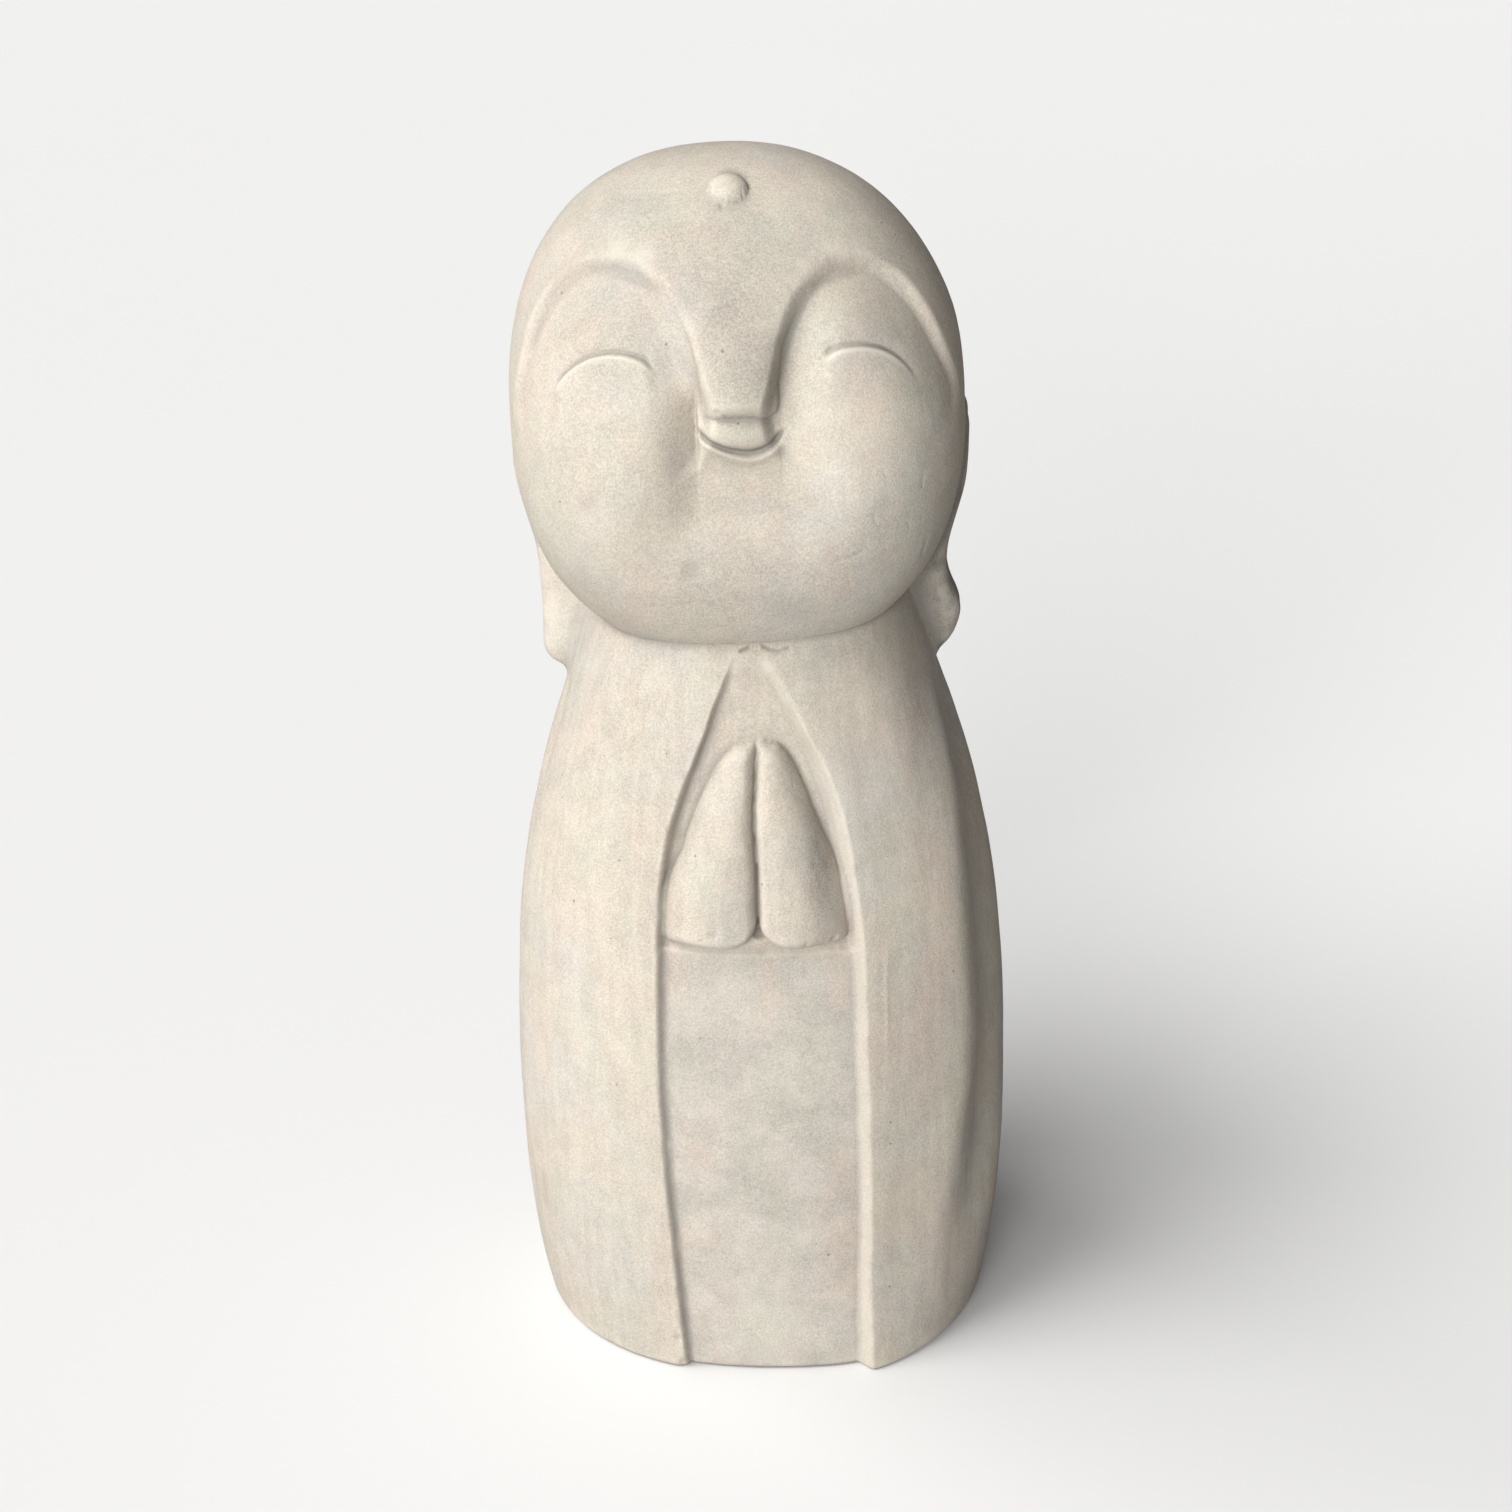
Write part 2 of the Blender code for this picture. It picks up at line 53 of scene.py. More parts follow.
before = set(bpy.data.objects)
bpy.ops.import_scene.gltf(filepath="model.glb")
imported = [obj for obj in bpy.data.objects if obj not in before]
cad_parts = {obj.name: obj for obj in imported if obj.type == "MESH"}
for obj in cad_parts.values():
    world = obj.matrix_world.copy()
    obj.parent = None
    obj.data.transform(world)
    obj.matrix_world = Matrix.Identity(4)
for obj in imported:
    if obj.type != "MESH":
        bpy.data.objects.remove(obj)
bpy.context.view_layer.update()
node_low, node_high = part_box("statue")

# Grid of the drawing, in units from the sole to the crown
GRID = 600.0
MM = 0.001

# Head: an egg that leans back and looks up
HEAD_CENTRE = (-5, -2, 486.4)
HEAD_LENGTH = 227.3
HEAD_TILT = 19.0
HEAD_LEAN = 2.0
HEAD_TURN = 3.6
HEAD_RING = 2.10
HEAD_CHEEK_RING = 2.55
HEAD_CROWN = 2.25
HEAD_JAW = 2.45
CROWN_SHIFT = 3.4
NECK_FILLET = 2.0
NECK_HEIGHT = 360.0

# Robe: a rounded block, as (height, share of the half width) and (height, share of the half depth)
ROBE_SECTION = 2.25
ROBE_TOP = 430.0
ROBE_SIDE = ((0, 0.925), (20, 0.956), (50, 0.982), (110, 1.000), (190, 0.979), (245, 0.931),
             (300, 0.838), (345, 0.726), (395, 0.588), (430, 0.460))
ROBE_FRONT = ((0, 0.985), (60, 1.000), (150, 1.000), (250, 0.970), (330, 0.905), (395, 0.815),
              (430, 0.680))
SOLE_ROUND = 3.0
SOLE_ROUND_RIGHT = 4.0

# Ears: long flaps behind the cheeks, their edge as (height, distance out from the head's width)
EAR_MIDDLE = ((352, 9), (400, 12), (440, 17), (482, 24))
EAR_BREADTH = ((352, 20), (400, 21), (430, 30), (455, 38), (482, 34))
EAR_TOP = 482.0
EAR_FOOT_LEFT = 348.0
EAR_FOOT_RIGHT = 353.0
EAR_TURN = 0.35
EAR_HOLLOW = 3.5
EAR_HOLLOW_HEIGHT = 452.0
EAR_EDGE = ((352, -5), (384, -6), (408, -5.5), (446, 3.6), (482, 3.6))
LOBE_FLARE = 8.0
LOBE_HEIGHT = 378.0

# Front opening of the robe, its edges as (height, distance round the robe from the middle)
OPENING_LEFT = ((0, -37.5), (80, -42), (137, -44.8), (222, -44.8), (263, -43.1), (287, -41.5),
                (304, -38.3), (327, -31.4), (352, -21.9), (374, -13.5), (398, -3))
OPENING_RIGHT = ((0, 54), (80, 55), (190, 53), (262, 50), (282, 47), (303, 44), (324, 39.5),
                 (344, 32.5), (361, 24.5), (380, 16.5), (400, 7.5))
OPENING_DEPTH = ((0, 6.2), (234, 6.2), (256, 6.6), (330, 6.4), (368, 4.8), (384, 2.8), (396, 0))
OPENING_WALL_LEFT = 3.4
OPENING_WALL_RIGHT = ((150, 7), (300, 6), (380, 5.5))
PANEL_TOP = 249.0
PANEL_RISE = 1.9
LIP_RISE = ((240, 1), (270, 1.8), (376, 1.9), (396, 0))
HEM_KICK = 6.2
HEM_KICK_PLACE = 60.0
HEM_KICK_REACH = (30, 50)  # to the left and right of its place
HEM_KICK_TOP = 70.0
HEM_KICK_PANEL = 0.45

# Joined hands, their outer edge as (height, distance from the seam between them)
HAND_RISE = 14.4
HAND_FOOT = 252.3
HAND_TIP = 356.0
HAND_ROUND = 15.0
HAND_CORNER = 5.0
HAND_LEFT_FOOT = (3.6, 304)  # how much wider, and below which height
HAND_SEAM_ROUND = (6, 3)  # of the left and right hand
HAND_SEAM = ((250, 4.8), (286, 4.4), (324, 3.6), (356, 5))
HAND_OUTER = ((250, 44), (268, 44), (284, 41.5), (300, 36.5), (316, 30.5), (332, 24), (345, 17.5),
              (351, 13), (354, 9.5), (356, 3))
HAND_CREST = 0.33

# Folds where the sleeves hang at both sides, as (height, distance round the robe), and at the back
FOLD_RIGHT = ((0, 97), (30, 99.5), (59, 101), (95, 106.5), (129, 112), (161, 117), (220, 117.5),
              (268, 116.5), (319, 119), (340, 118))
FOLD_RIGHT_REACH = ((60, 30), (140, 44))
FOLD_LEFT = ((0, 122), (100, 142), (200, 146), (270, 140), (337, 122))
FOLD_CREST = 1.8
FOLD_DEPTH = 6.5
FOLD_TOP = 368.0
BACK_FOLDS = ((34, 2.2), (92, 2.8))
BACK_FOLD_TOP = 330.0

# Eye sockets, their wall as (angle from straight down, distance from the socket's middle)
SOCKET_MIDDLE = (48, 14)
SOCKET_WALL = ((0, 60), (60, 45), (83, 35.5), (115, 34), (147, 40), (177, 47.5), (205, 48),
               (234, 46), (265, 46.5), (283, 51.4), (360, 60))
SOCKET_DEPTH = ((0, 0), (20, 0.5), (60, 5.5), (90, 7), (135, 6.2), (180, 4.4), (225, 4.2),
                (262, 3.4), (283, 1.9), (300, 0.3), (315, 0), (360, 0))
SOCKET_SLOPE = ((0, 7), (60, 7), (100, 8), (140, 10), (180, 8), (225, 5), (360, 4.5))

# Closed eyes, as (distance from the nose line, height on the face)
EYE_LEFT = ((-79, 8.8), (-72, 15.8), (-63.4, 20.4), (-54.2, 22), (-43.9, 20.6), (-38.4, 18),
            (-34, 13.5))
EYE_RIGHT = ((36.5, 16.4), (42.5, 20.2), (49.4, 21.3), (58.1, 21), (64.2, 19.4), (70.7, 15.7),
             (76.4, 9.5), (80.5, 1.5))
EYE_DEPTH = 1.2

# Nose, upper lip, smile, chin and cheeks; pairs are for the viewer's left and right of the face
NOSE_SIDE = ((-9, 17.6), (10, 17.2), (27, 20.5), (44, 29))
NOSE_MIDDLE = 1.2
NOSE_RISE = 11.5
NOSE_FOOT = -6.8
NOSE_ROOT = 50.0
NOSE_ROUND = 6.5
NOSE_CORNER = 7.0
LIP_HALF = (19, 16.5)
LIP_BULGE = 5.4
SMILE = ((-19.5, -8.6), (-14.4, -14.2), (-7.8, -18.2), (0, -20.4), (6, -20.8), (11.5, -19.4),
         (16.5, -16.2), (21.5, -10.4))
SMILE_DEPTH = 2.4
CHIN_HALF = ((-95, 14), (-70, 17), (-45, 18.5), (-15, 18.5))
CHIN_SLOPE = ((-95, 48), (-70, 42), (-45, 36), (-15, 28))
CHIN_DEPTH = 9.5
CHIN_CRISP = (0.45, 0.75)
MOUTH_FOLD = (7, 0.6)
CHIN_SAG = 3.0
CHEEK_RISE = 1.5
CHEEK_PLACE = (45, -38)

# Round mark on the forehead
MARK_PLACE = (-0.3, -63, 88.5)
MARK_RADIUS = 8.6
MARK_RISE = 5.0

# Grid of the drawing, as (start, step) of each stretch up to the next one's start: heights, climbs
# of the rays from the head's centre in degrees, and turns from the front line to the ears
SOLE_LEVELS = (0, 0.3, 0.9, 2, 3.6)
HEIGHT_STEPS = ((6, 2), (PANEL_TOP - 10, 0.75), (NECK_HEIGHT, 0.8), (HEAD_CENTRE[2], 0))
CLIMB_STEPS = ((0, 0.36), (46, 1.1), (89, 0))
TURN_STEPS = ((0, 0.38), (62, 0.75), (116, 0))
BACK_STEP = 2.5

# Marks of the casting on the head, as (across, up, radius, depth), measured on the face
HEAD_DENTS = ((-22.9, -73.5, 5, 0.5), (-64.8, -41.5, 4.6, 0.35), (-3.2, 82.3, 1.5, 0.9),
              (-44, -28, 1, 0.4), (-30, -47, 1, 0.4), (-37, 52, 1.2, 0.4), (-8.5, -3.4, 1.3, 0.8),
              (-5, -5.2, 1, 0.8), (10.5, -107.8, 1.5, 0.8), (16.5, -108.2, 1.4, 0.8),
              (23, -112.5, 1.3, 0.7))

# Marks on the robe and hands, as (distance round, height, radius, depth)
ROBE_DENTS = ((-16, 263, 2.6, 0.7), (-21, 259.5, 1.2, 0.6), (26, 258, 1.4, 0.6), (-41, 20, 3, 0.8),
              (-37.5, 3, 4, 1.8), (39.5, 257, 2.2, 0.9), (4.8, 257, 3.4, 2.6))

# Dark and pale ovals laid on the colour, as (across, up, radius across, radius up, strength)
HEAD_STAINS = ((-22.9, -73.5, 4.5, 5, 0.8), (-64.8, -41.5, 5, 5, 0.35), (21, -90, 14, 6, 0.55),
               (-40, 84, 16, 5, 0.4), (14, -108.5, 6, 1.3, 0.9), (-0.6, -108.7, 2, 1.4, 0.8),
               (23, -112.5, 3, 1.4, 0.8), (-22, -0.5, 4, 4.5, 0.3), (2.6, 84, 1.2, 1.2, 1),
               (-25, -30, 7, 24, 0.5))
# On the robe the ovals at (4.8, 257.5) and (104, 34) are painted shade, in the pit between the
# palms and down the fold on the right
ROBE_STAINS_AND_SHADE = ((-124.5, 81, 4, 15, 0.7), (-117, 16, 8, 4, 0.4), (-33, 196, 4, 24, 0.3),
               (23.4, 84, 4, 4, -0.6), (4.8, 257.5, 3.4, 3, 1.6), (-6, 391, 7, 2, -0.5),
               (-24, 395, 5, 1.5, -0.5), (9, 390, 3, 5, -0.6), (104, 34, 2.6, 28, 0.6))

# Broad lighter and darker ovals, the stone's own tone and painted light and shade, as (across, up,
# radius across, radius up, change)
HEAD_TONES_AND_LIGHT = ((-3, 58, 36, 24, -0.14), (0, 18, 17, 26, -0.20), (-57, 32, 22, 22, -0.12),
              (-64, -22, 26, 24, -0.06), (48, -20, 26, 26, 0.17), (46, -70, 20, 14, -0.08),
              (-27, -25, 8, 30, -0.13), (30, 100, 40, 18, 0.10), (-2, -80, 34, 20, -0.10),
              (-47, 78, 24, 16, -0.08), (44, 78, 26, 20, 0.10), (0, -42, 13, 10, -0.05))
ROBE_TONES_AND_LIGHT = ((56, 350, 26, 40, 0.20), (-62, 358, 26, 26, -0.05), (-76, 170, 34, 120, 0.06),
              (-128, 193, 24, 90, 0.05), (2, 45, 40, 34, 0.10), (33, 296, 7, 28, -0.26),
              (76, 290, 34, 52, 0.15), (117, 54, 16, 24, 0.10))

# Thin raised line on the robe, as (distance round, foot, top, height of its crest)
ROBE_RIDGE = (65.6, 188, 250, 0.28)

# Scuffs on the viewer's right cheek and cracks below the neck, as (across, up) of both ends, depth
SCUFFS = ((78.6, -34.5, 77.6, -40.3, 0.2), (80.8, -63.5, 79.1, -70.4, 0.3),
          (41.4, -70, 47, -68.6, 0.35), (47, -68.6, 52, -65, 0.35), (56.2, -49.4, 57, -53, 0.25),
          (44.4, -76.2, 47.1, -83.6, 0.2), (71, -53.9, 72.5, -57.2, 0.25),
          (60, -31, 61.8, -33.8, 0.25))
CRACKS = ((-0.5, 398, 3, 399.6, 1.2), (9.5, 399.8, 12.5, 398.4, 0.9),
          (12.5, 398.4, 16.5, 397.4, 0.7), (16.5, 397.4, 21, 398.8, 0.6))

# Layers of smooth noise, as (size, height): wandering lines, chips in the panel's rim, unevenness
WANDER = ((15, 0.36), (5, 0.16))
CHIPS = ((6, 0.8), (2.4, 0.5))
UNEVEN = ((44, 0.34), (19, 0.17), (8, 0.07))

# Half the robe's and the head's width and depth, in units
Shape = namedtuple("Shape", "robe_half head_half")


def curve(at, pairs):
    """Smooth curve through (place, value) pairs, level beyond its ends."""
    knots, values = np.array(pairs, float).T
    tangents = np.gradient(values, knots)
    at = np.clip(at, knots[0], knots[-1])
    i = np.clip(np.searchsorted(knots, at, side="right") - 1, 0, len(knots) - 2)
    span = knots[i + 1] - knots[i]
    t = (at - knots[i]) / span
    start = (1 + 2 * t) * (1 - t) ** 2 * values[i] + t * (1 - t) ** 2 * span * tangents[i]
    end = t * t * (3 - 2 * t) * values[i + 1] - t * t * (1 - t) * span * tangents[i + 1]
    return start + end


def rise(x):
    """Smooth step from 0 at x = 0 to 1 at x = 1."""
    t = np.clip(x, 0, 1)
    return t * t * (3 - 2 * t)


def bump(x):
    """Bell of height 1 at x = 0."""
    return np.exp(-x * x)


def quarter(x):
    """Quarter circle that climbs from 0 at x = 0 and is level at 1 from x = 1."""
    return np.sqrt(1 - np.clip(1 - x, 0, 1) ** 2)


def join(a, b, width):
    """Union of two distances with a fillet as wide as width."""
    near = np.maximum(width - np.abs(a - b), 0) / width
    return np.minimum(a, b) - near * near * width / 4


def meet(a, b, width):
    """Overlap of two distances with an edge rounded as wide as width."""
    return -join(-a, -b, width)


def cloud(points, size, seed):
    """Smooth noise between -1 and 1.

    Random values sit on a cubic lattice of the given size, and each point blends the values at
    the eight corners of its cell by smooth steps.
    """
    values = np.random.default_rng(seed).uniform(-1, 1, (32, 32, 32))
    cell = np.floor(points / size).astype(int)
    share = rise(points / size - cell)
    total = np.zeros(points.shape[:-1])
    for corner in np.ndindex(2, 2, 2):
        weight = np.prod(np.where(corner, share, 1 - share), axis=-1)
        i, j, k = np.moveaxis((cell + corner) % 32, -1, 0)
        total = total + weight * values[i, j, k]
    return total


def clouds(points, layers, seed):
    """Sum of several layers of smooth noise."""
    return sum(height * cloud(points, size, seed + i) for i, (size, height) in enumerate(layers))


def rotation(turn, first, second):
    """Matrix that turns the first axis towards the second by some degrees."""
    matrix = np.eye(3)
    matrix[first, first] = matrix[second, second] = np.cos(radians(turn))
    matrix[second, first] = np.sin(radians(turn))
    matrix[first, second] = -matrix[second, first]
    return matrix


def head_axes():
    """The head's own x, y and z directions, as columns."""
    return rotation(HEAD_LEAN, 0, 2) @ rotation(HEAD_TILT, 2, 1) @ rotation(HEAD_TURN, 0, 1)


def on_head(points):
    """Points measured from the head's centre along its own directions."""
    return (points - np.array(HEAD_CENTRE)) @ head_axes()


def head_distance(points, shape):
    """Distance outside the head's egg."""
    half = np.array((*shape.head_half, HEAD_LENGTH / 2))
    local = on_head(points)
    up = local[..., 2] / half[2]
    local[..., 0] = local[..., 0] + CROWN_SHIFT * rise((up - 0.2) / 0.8)
    share = np.abs(local / half)
    power = HEAD_JAW + (HEAD_CROWN - HEAD_JAW) / (1 + np.exp(-up / 0.15))
    bend = HEAD_CHEEK_RING + (HEAD_RING - HEAD_CHEEK_RING) / (1 + np.exp(-(up - 0.32) / 0.12))
    ring = (share[..., 0] ** bend + share[..., 1] ** bend) ** (1 / bend)
    size = (ring ** power + share[..., 2] ** power) ** (1 / power)
    reach = np.linalg.norm(points - np.array(HEAD_CENTRE), axis=-1)
    return reach * (1 - 1 / np.maximum(size, 1e-6))


def robe_distance(points, shape):
    """Distance outside the robe's rounded block."""
    x, y, z = points[..., 0], points[..., 1], points[..., 2]
    half_width = curve(z, ROBE_SIDE) * shape.robe_half[0]
    half_depth = curve(z, ROBE_FRONT) * shape.robe_half[1]
    ring = np.abs(x / half_width) ** ROBE_SECTION + np.abs(y / half_depth) ** ROBE_SECTION
    size = ring ** (1 / ROBE_SECTION)
    side = np.hypot(x, y) * (1 - 1 / np.maximum(size, 1e-6))
    return meet(side, z - ROBE_TOP, 10)


def ear_section(x, z, shape):
    """Middle and breadth of the ear flaps, whose front face turns back towards the outer edge."""
    outer = np.abs(x - HEAD_CENTRE[0]) - shape.head_half[0]
    return curve(z, EAR_MIDDLE) + EAR_TURN * outer / 2, curve(z, EAR_BREADTH) - EAR_TURN * outer


def ear_distance(points, shape):
    """Distance outside the two ear flaps."""
    x, y, z = points[..., 0], points[..., 1], points[..., 2]
    flare = LOBE_FLARE * bump((z - LOBE_HEIGHT) / 15) * (x > 0)
    edge = shape.head_half[0] + curve(z, EAR_EDGE) + flare
    across = np.abs(x - HEAD_CENTRE[0]) - edge
    middle, breadth = ear_section(x, z, shape)
    through = np.abs(y - middle) - breadth / 2
    foot = np.where(x > 0, EAR_FOOT_RIGHT, EAR_FOOT_LEFT)
    along = np.maximum(foot - z, z - EAR_TOP)
    return meet(meet(across, through, 9), along, 16)


def figure_distance(points, shape):
    """Distance outside the whole figure before it is carved."""
    body = join(head_distance(points, shape), robe_distance(points, shape), NECK_FILLET)
    return join(body, ear_distance(points, shape), 6)


def rays(levels, turns):
    """Start and direction of one ray for each level and turn round the figure's axis."""
    height = np.repeat(levels[:, :1], len(turns), axis=1)
    climb = np.repeat(levels[:, 1:], len(turns), axis=1)
    shift = rise((height - NECK_HEIGHT) / (HEAD_CENTRE[2] - NECK_HEIGHT))
    start = np.stack((HEAD_CENTRE[0] * shift, HEAD_CENTRE[1] * shift, height), -1)
    level_part = np.cos(climb)
    way = np.stack((np.sin(turns) * level_part, -np.cos(turns) * level_part, np.sin(climb)), -1)
    return start, way


def plain_surface(levels, turns, shape):
    """Points of the uncarved figure, found along the rays by halving."""
    start, way = rays(levels, turns)
    near = np.full(start.shape[:2], 20.0)
    far = np.full(start.shape[:2], 200.0)
    for _ in range(22):
        middle = (near + far) / 2
        inside = figure_distance(start + way * middle[..., None], shape) < 0
        near = np.where(inside, middle, near)
        far = np.where(inside, far, middle)
    return start + way * far[..., None]


def outward(points, shape):
    """Unit normals of the uncarved figure."""
    offsets = np.eye(3) * 0.05
    slope = [figure_distance(points + step, shape) - figure_distance(points - step, shape)
             for step in offsets]
    slope = np.stack(slope, -1)
    return slope / np.linalg.norm(slope, axis=-1, keepdims=True)


def distance_round(points):
    """Distance round the figure from the front line, negative to the viewer's left."""
    steps = np.linalg.norm(np.diff(points, axis=1, append=points[:, :1]), axis=2)
    total = steps.sum(axis=1, keepdims=True)
    travelled = np.cumsum(steps, axis=1) - steps
    return np.where(travelled > total / 2, travelled - total, travelled), total / 2


def slant(at, pairs):
    """How much longer a curve runs than the height it covers."""
    return np.hypot(1, curve(at + 1, pairs) - curve(at, pairs))


def opening_relief(s, z):
    """The robe's front opening with its sunk panel, raised right lip and kicked out hem.

    The second result is painted shadow along the left edge, with a minus sign for painted
    highlights along the right lip and the panel's top edge.
    """
    left = curve(z, OPENING_LEFT)
    right = curve(z, OPENING_RIGHT)
    left_wall = OPENING_WALL_LEFT * slant(z, OPENING_LEFT)
    right_wall = curve(z, OPENING_WALL_RIGHT) * slant(z, OPENING_RIGHT)
    sheer = 1 - np.clip(1 - (s - left) / left_wall, 0, 1) ** 2.6
    inside = sheer * rise((right - s) / right_wall + 0.5)
    depth = curve(z, OPENING_DEPTH)
    panel = PANEL_RISE * rise((PANEL_TOP - z) / 1.8)
    reach = np.where(s < HEM_KICK_PLACE, *HEM_KICK_REACH)
    kick = bump((s - HEM_KICK_PLACE) / reach) * rise((HEM_KICK_TOP - z) / 90)
    outside = rise((s - right) / 7 + 0.5)
    kick = kick * (HEM_KICK_PANEL + (1 - HEM_KICK_PANEL) * outside)
    lip = curve(z, LIP_RISE) * bump((s - right - 3.2) / np.where(s < right + 3.2, 3.2, 15.0))
    # Painted highlights along the right lip and the panel's top edge, painted shadow along the left
    # edge
    worn = 0.6 * bump((s - right - 0.6) / 2.6) * rise((400 - z) / 10)
    worn = worn + 0.9 * bump((z - PANEL_TOP + 1.2) / 1.0) * inside
    worn = worn - 0.85 * bump((s - left - 2.4) / 2.0) * rise((392 - z) / 60)
    return lip + HEM_KICK * kick + (panel - depth) * inside, -worn


def hands_relief(s, z):
    """Two palms pressed together, rounded at the tips, at the seam and at the foot.

    Across a palm the height is an oval from its crest to the outer edge, and falls by a fifth
    from the crest to the seam. The second result is painted shade in the seam, round the outline
    and under the palms, and a line of painted shade above the tips.
    """
    seam = curve(z, HAND_SEAM)
    wider, below = HAND_LEFT_FOOT
    outer = curve(z, HAND_OUTER) + wider * rise((below - z) / 28) * (s < seam)
    aside = np.abs(s - seam)
    share = np.clip(aside / outer, 0, 1)
    beyond = np.clip((share - HAND_CREST) / (1 - HAND_CREST), 0, 1)
    before = np.clip(1 - share / HAND_CREST, 0, 1)
    section = (1 - beyond ** 1.9) ** 0.8 * (1 - 0.22 * before ** 2)
    seam_round = np.where(s < seam, *HAND_SEAM_ROUND)
    seam_cut = 0.3 + 0.7 * quarter(aside / seam_round)
    bottom = HAND_FOOT + HAND_ROUND * (1 - quarter(aside / HAND_ROUND))
    bottom = bottom + HAND_CORNER * (1 - quarter((outer - aside) / HAND_CORNER))
    ends = quarter((z - bottom) / 7) * quarter((HAND_TIP - z) / 9)
    slender = 0.66 + 0.34 * rise((HAND_TIP - z) / 55)
    # Painted shade in the seam and round the palms, under their foot, and in a line above the tips
    line = 0.9 * bump(aside / 0.9) + 0.6 * bump((aside - outer - 0.6) / 1.3)
    grime = line * rise((z - HAND_FOOT) / 6) * rise((HAND_TIP - z) / 5)
    grime = grime + 0.8 * bump((z - bottom + 0.4) / 1.2) * (aside < outer)
    arc = HAND_TIP + 5.5 - 0.03 * (s - 4) ** 2
    grime = grime + 0.8 * bump((z - arc) / 1.2) * bump((s - 4) / 11)
    return HAND_RISE * section * seam_cut * ends * slender, grime


def fold_relief(s, z, half_round):
    """Folds beside the sleeves and down the back."""
    right = s - curve(z, FOLD_RIGHT)
    left = -s - curve(z, FOLD_LEFT)
    crest = FOLD_CREST * np.where(right < 0, rise((right + 30) / 30), rise(1 - right / 40))
    beyond = rise((right + 9) / 32)
    beyond = beyond * (1 - rise((right - 24) / curve(z, FOLD_RIGHT_REACH)))
    sides = crest - FOLD_DEPTH * beyond
    sides = sides + 0.6 * bump((left + 3) / 8) - 0.4 * FOLD_DEPTH * bump((left - 9) / 9)
    sides = sides * rise((z - 4) / 125)
    from_back = half_round - np.abs(s)
    back = sum(-depth * bump((from_back - place) / 11) for place, depth in BACK_FOLDS)
    return sides * rise((FOLD_TOP - z) / 40) + back * rise((BACK_FOLD_TOP - z) / 120)


def socket_relief(x, z):
    """Eye sockets sunk below the brows and beside the nose, swelling back out to the cheeks.

    The second result is painted shade on their walls, with a minus sign for painted highlights on
    the left socket's lit inner brow edge and outer lower wall.
    """
    aside = SOCKET_MIDDLE[0] - np.abs(x)
    below = SOCKET_MIDDLE[1] - z
    turn = np.degrees(np.arctan2(aside, below)) % 360
    wall = curve(turn, SOCKET_WALL)
    wall = wall + np.where(x < 0, 3.8 * bump((turn - 195) / 45), -2.6 * bump((turn - 232) / 34))
    slope = curve(turn, SOCKET_SLOPE)
    inward = wall - np.hypot(aside, below)
    sunk = rise(inward / slope)
    swell = 1 - rise(1.1 * (inward - slope) / (wall - slope))
    on_wall = bump((inward - slope / 2) / slope)
    # Painted highlights on the left socket's lit inner brow edge and outer lower wall
    bright = 0.4 * bump((turn - 114) / 30) * bump((inward + 0.4) / 1.2)
    bright = bright + 0.5 * bump((turn - 235) / 36) * bump((inward - slope - 0.8) / 1.3)
    # Painted shade on walls facing away from the light, under the left brow and beside the nose on
    # the right
    left = 0.8 * bump((turn - 215) / 50) * on_wall - bright
    right = 0.45 * bump((turn - 122) / 34) * on_wall
    depth = curve(turn, SOCKET_DEPTH) * (1 - 0.3 * bump((turn - 128) / 30) * (x < 0))
    return -depth * sunk * swell, np.where(x < 0, left, right)


def above_line(x, z, line, start, end):
    """Distance above a line given as (across, up) pairs, and its fading at both ends."""
    off = (z - curve(x, line)) / slant(x, line)
    return off, rise((x - line[0][0]) / start) * rise((line[-1][0] - x) / end)


def facing(y):
    """1 on the front of the head, fading out behind it."""
    return rise((20 - y) / 40)


def mouth_relief(x, z):
    """The nose, an oval dome with a sheer foot, and the upper lip that drops to the smile line.

    Like the other parts of the face it gives a height and the painted shade in its lines, with a
    minus sign for painted highlights.
    """
    half = curve(z, NOSE_SIDE)
    aside = np.abs(x - NOSE_MIDDLE)
    corner = (1 - quarter((half - aside) / NOSE_CORNER)) * (x > NOSE_MIDDLE)
    foot = NOSE_FOOT + NOSE_CORNER * corner
    nose = np.clip(1 - (aside / half) ** 2, 0, 1) ** 0.55 * quarter((z - foot) / NOSE_ROUND)
    nose = NOSE_RISE * nose * rise((NOSE_ROOT - z) / 52)
    off, fade = above_line(x, z, SMILE, 5, 5)
    oval = np.clip(1 - (x / np.where(x < 0, *LIP_HALF)) ** 2, 0, 1) ** np.where(x < 0, 0.7, 1.1)
    full = rise(off / 3 + 0.3) * (1 - 0.3 * rise((off - 4) / 9)) * rise((NOSE_FOOT + 8 - z) / 6)
    thick = 1.0 + 0.9 * bump((x - 5) / 9)
    rim = 1.4 * bump((off + 1.9 * thick + 0.7) / 1.6)
    smile = (rim - SMILE_DEPTH * bump(off / (1.2 * thick))) * fade
    # Painted shadow in the smile line and a painted highlight on the lower lip's rim, then painted
    # shade under the nose's foot and down its right flank
    grime = (2.2 * bump(off / thick) - 1.0 * bump((off + 1.5 * thick + 0.8) / 1.2)) * fade
    grime = grime + 1.1 * bump((z - foot + 0.2) / 1.3) * rise((x + 11) / 12) * rise((15 - x) / 5)
    side = bump((aside - half + 3.5) / 4.5) * rise((z - foot) / 6) * rise((40 - z) / 20)
    grime = grime + 0.5 * side * (x > 0)
    return np.maximum(nose, LIP_BULGE * oval * full) + smile, grime


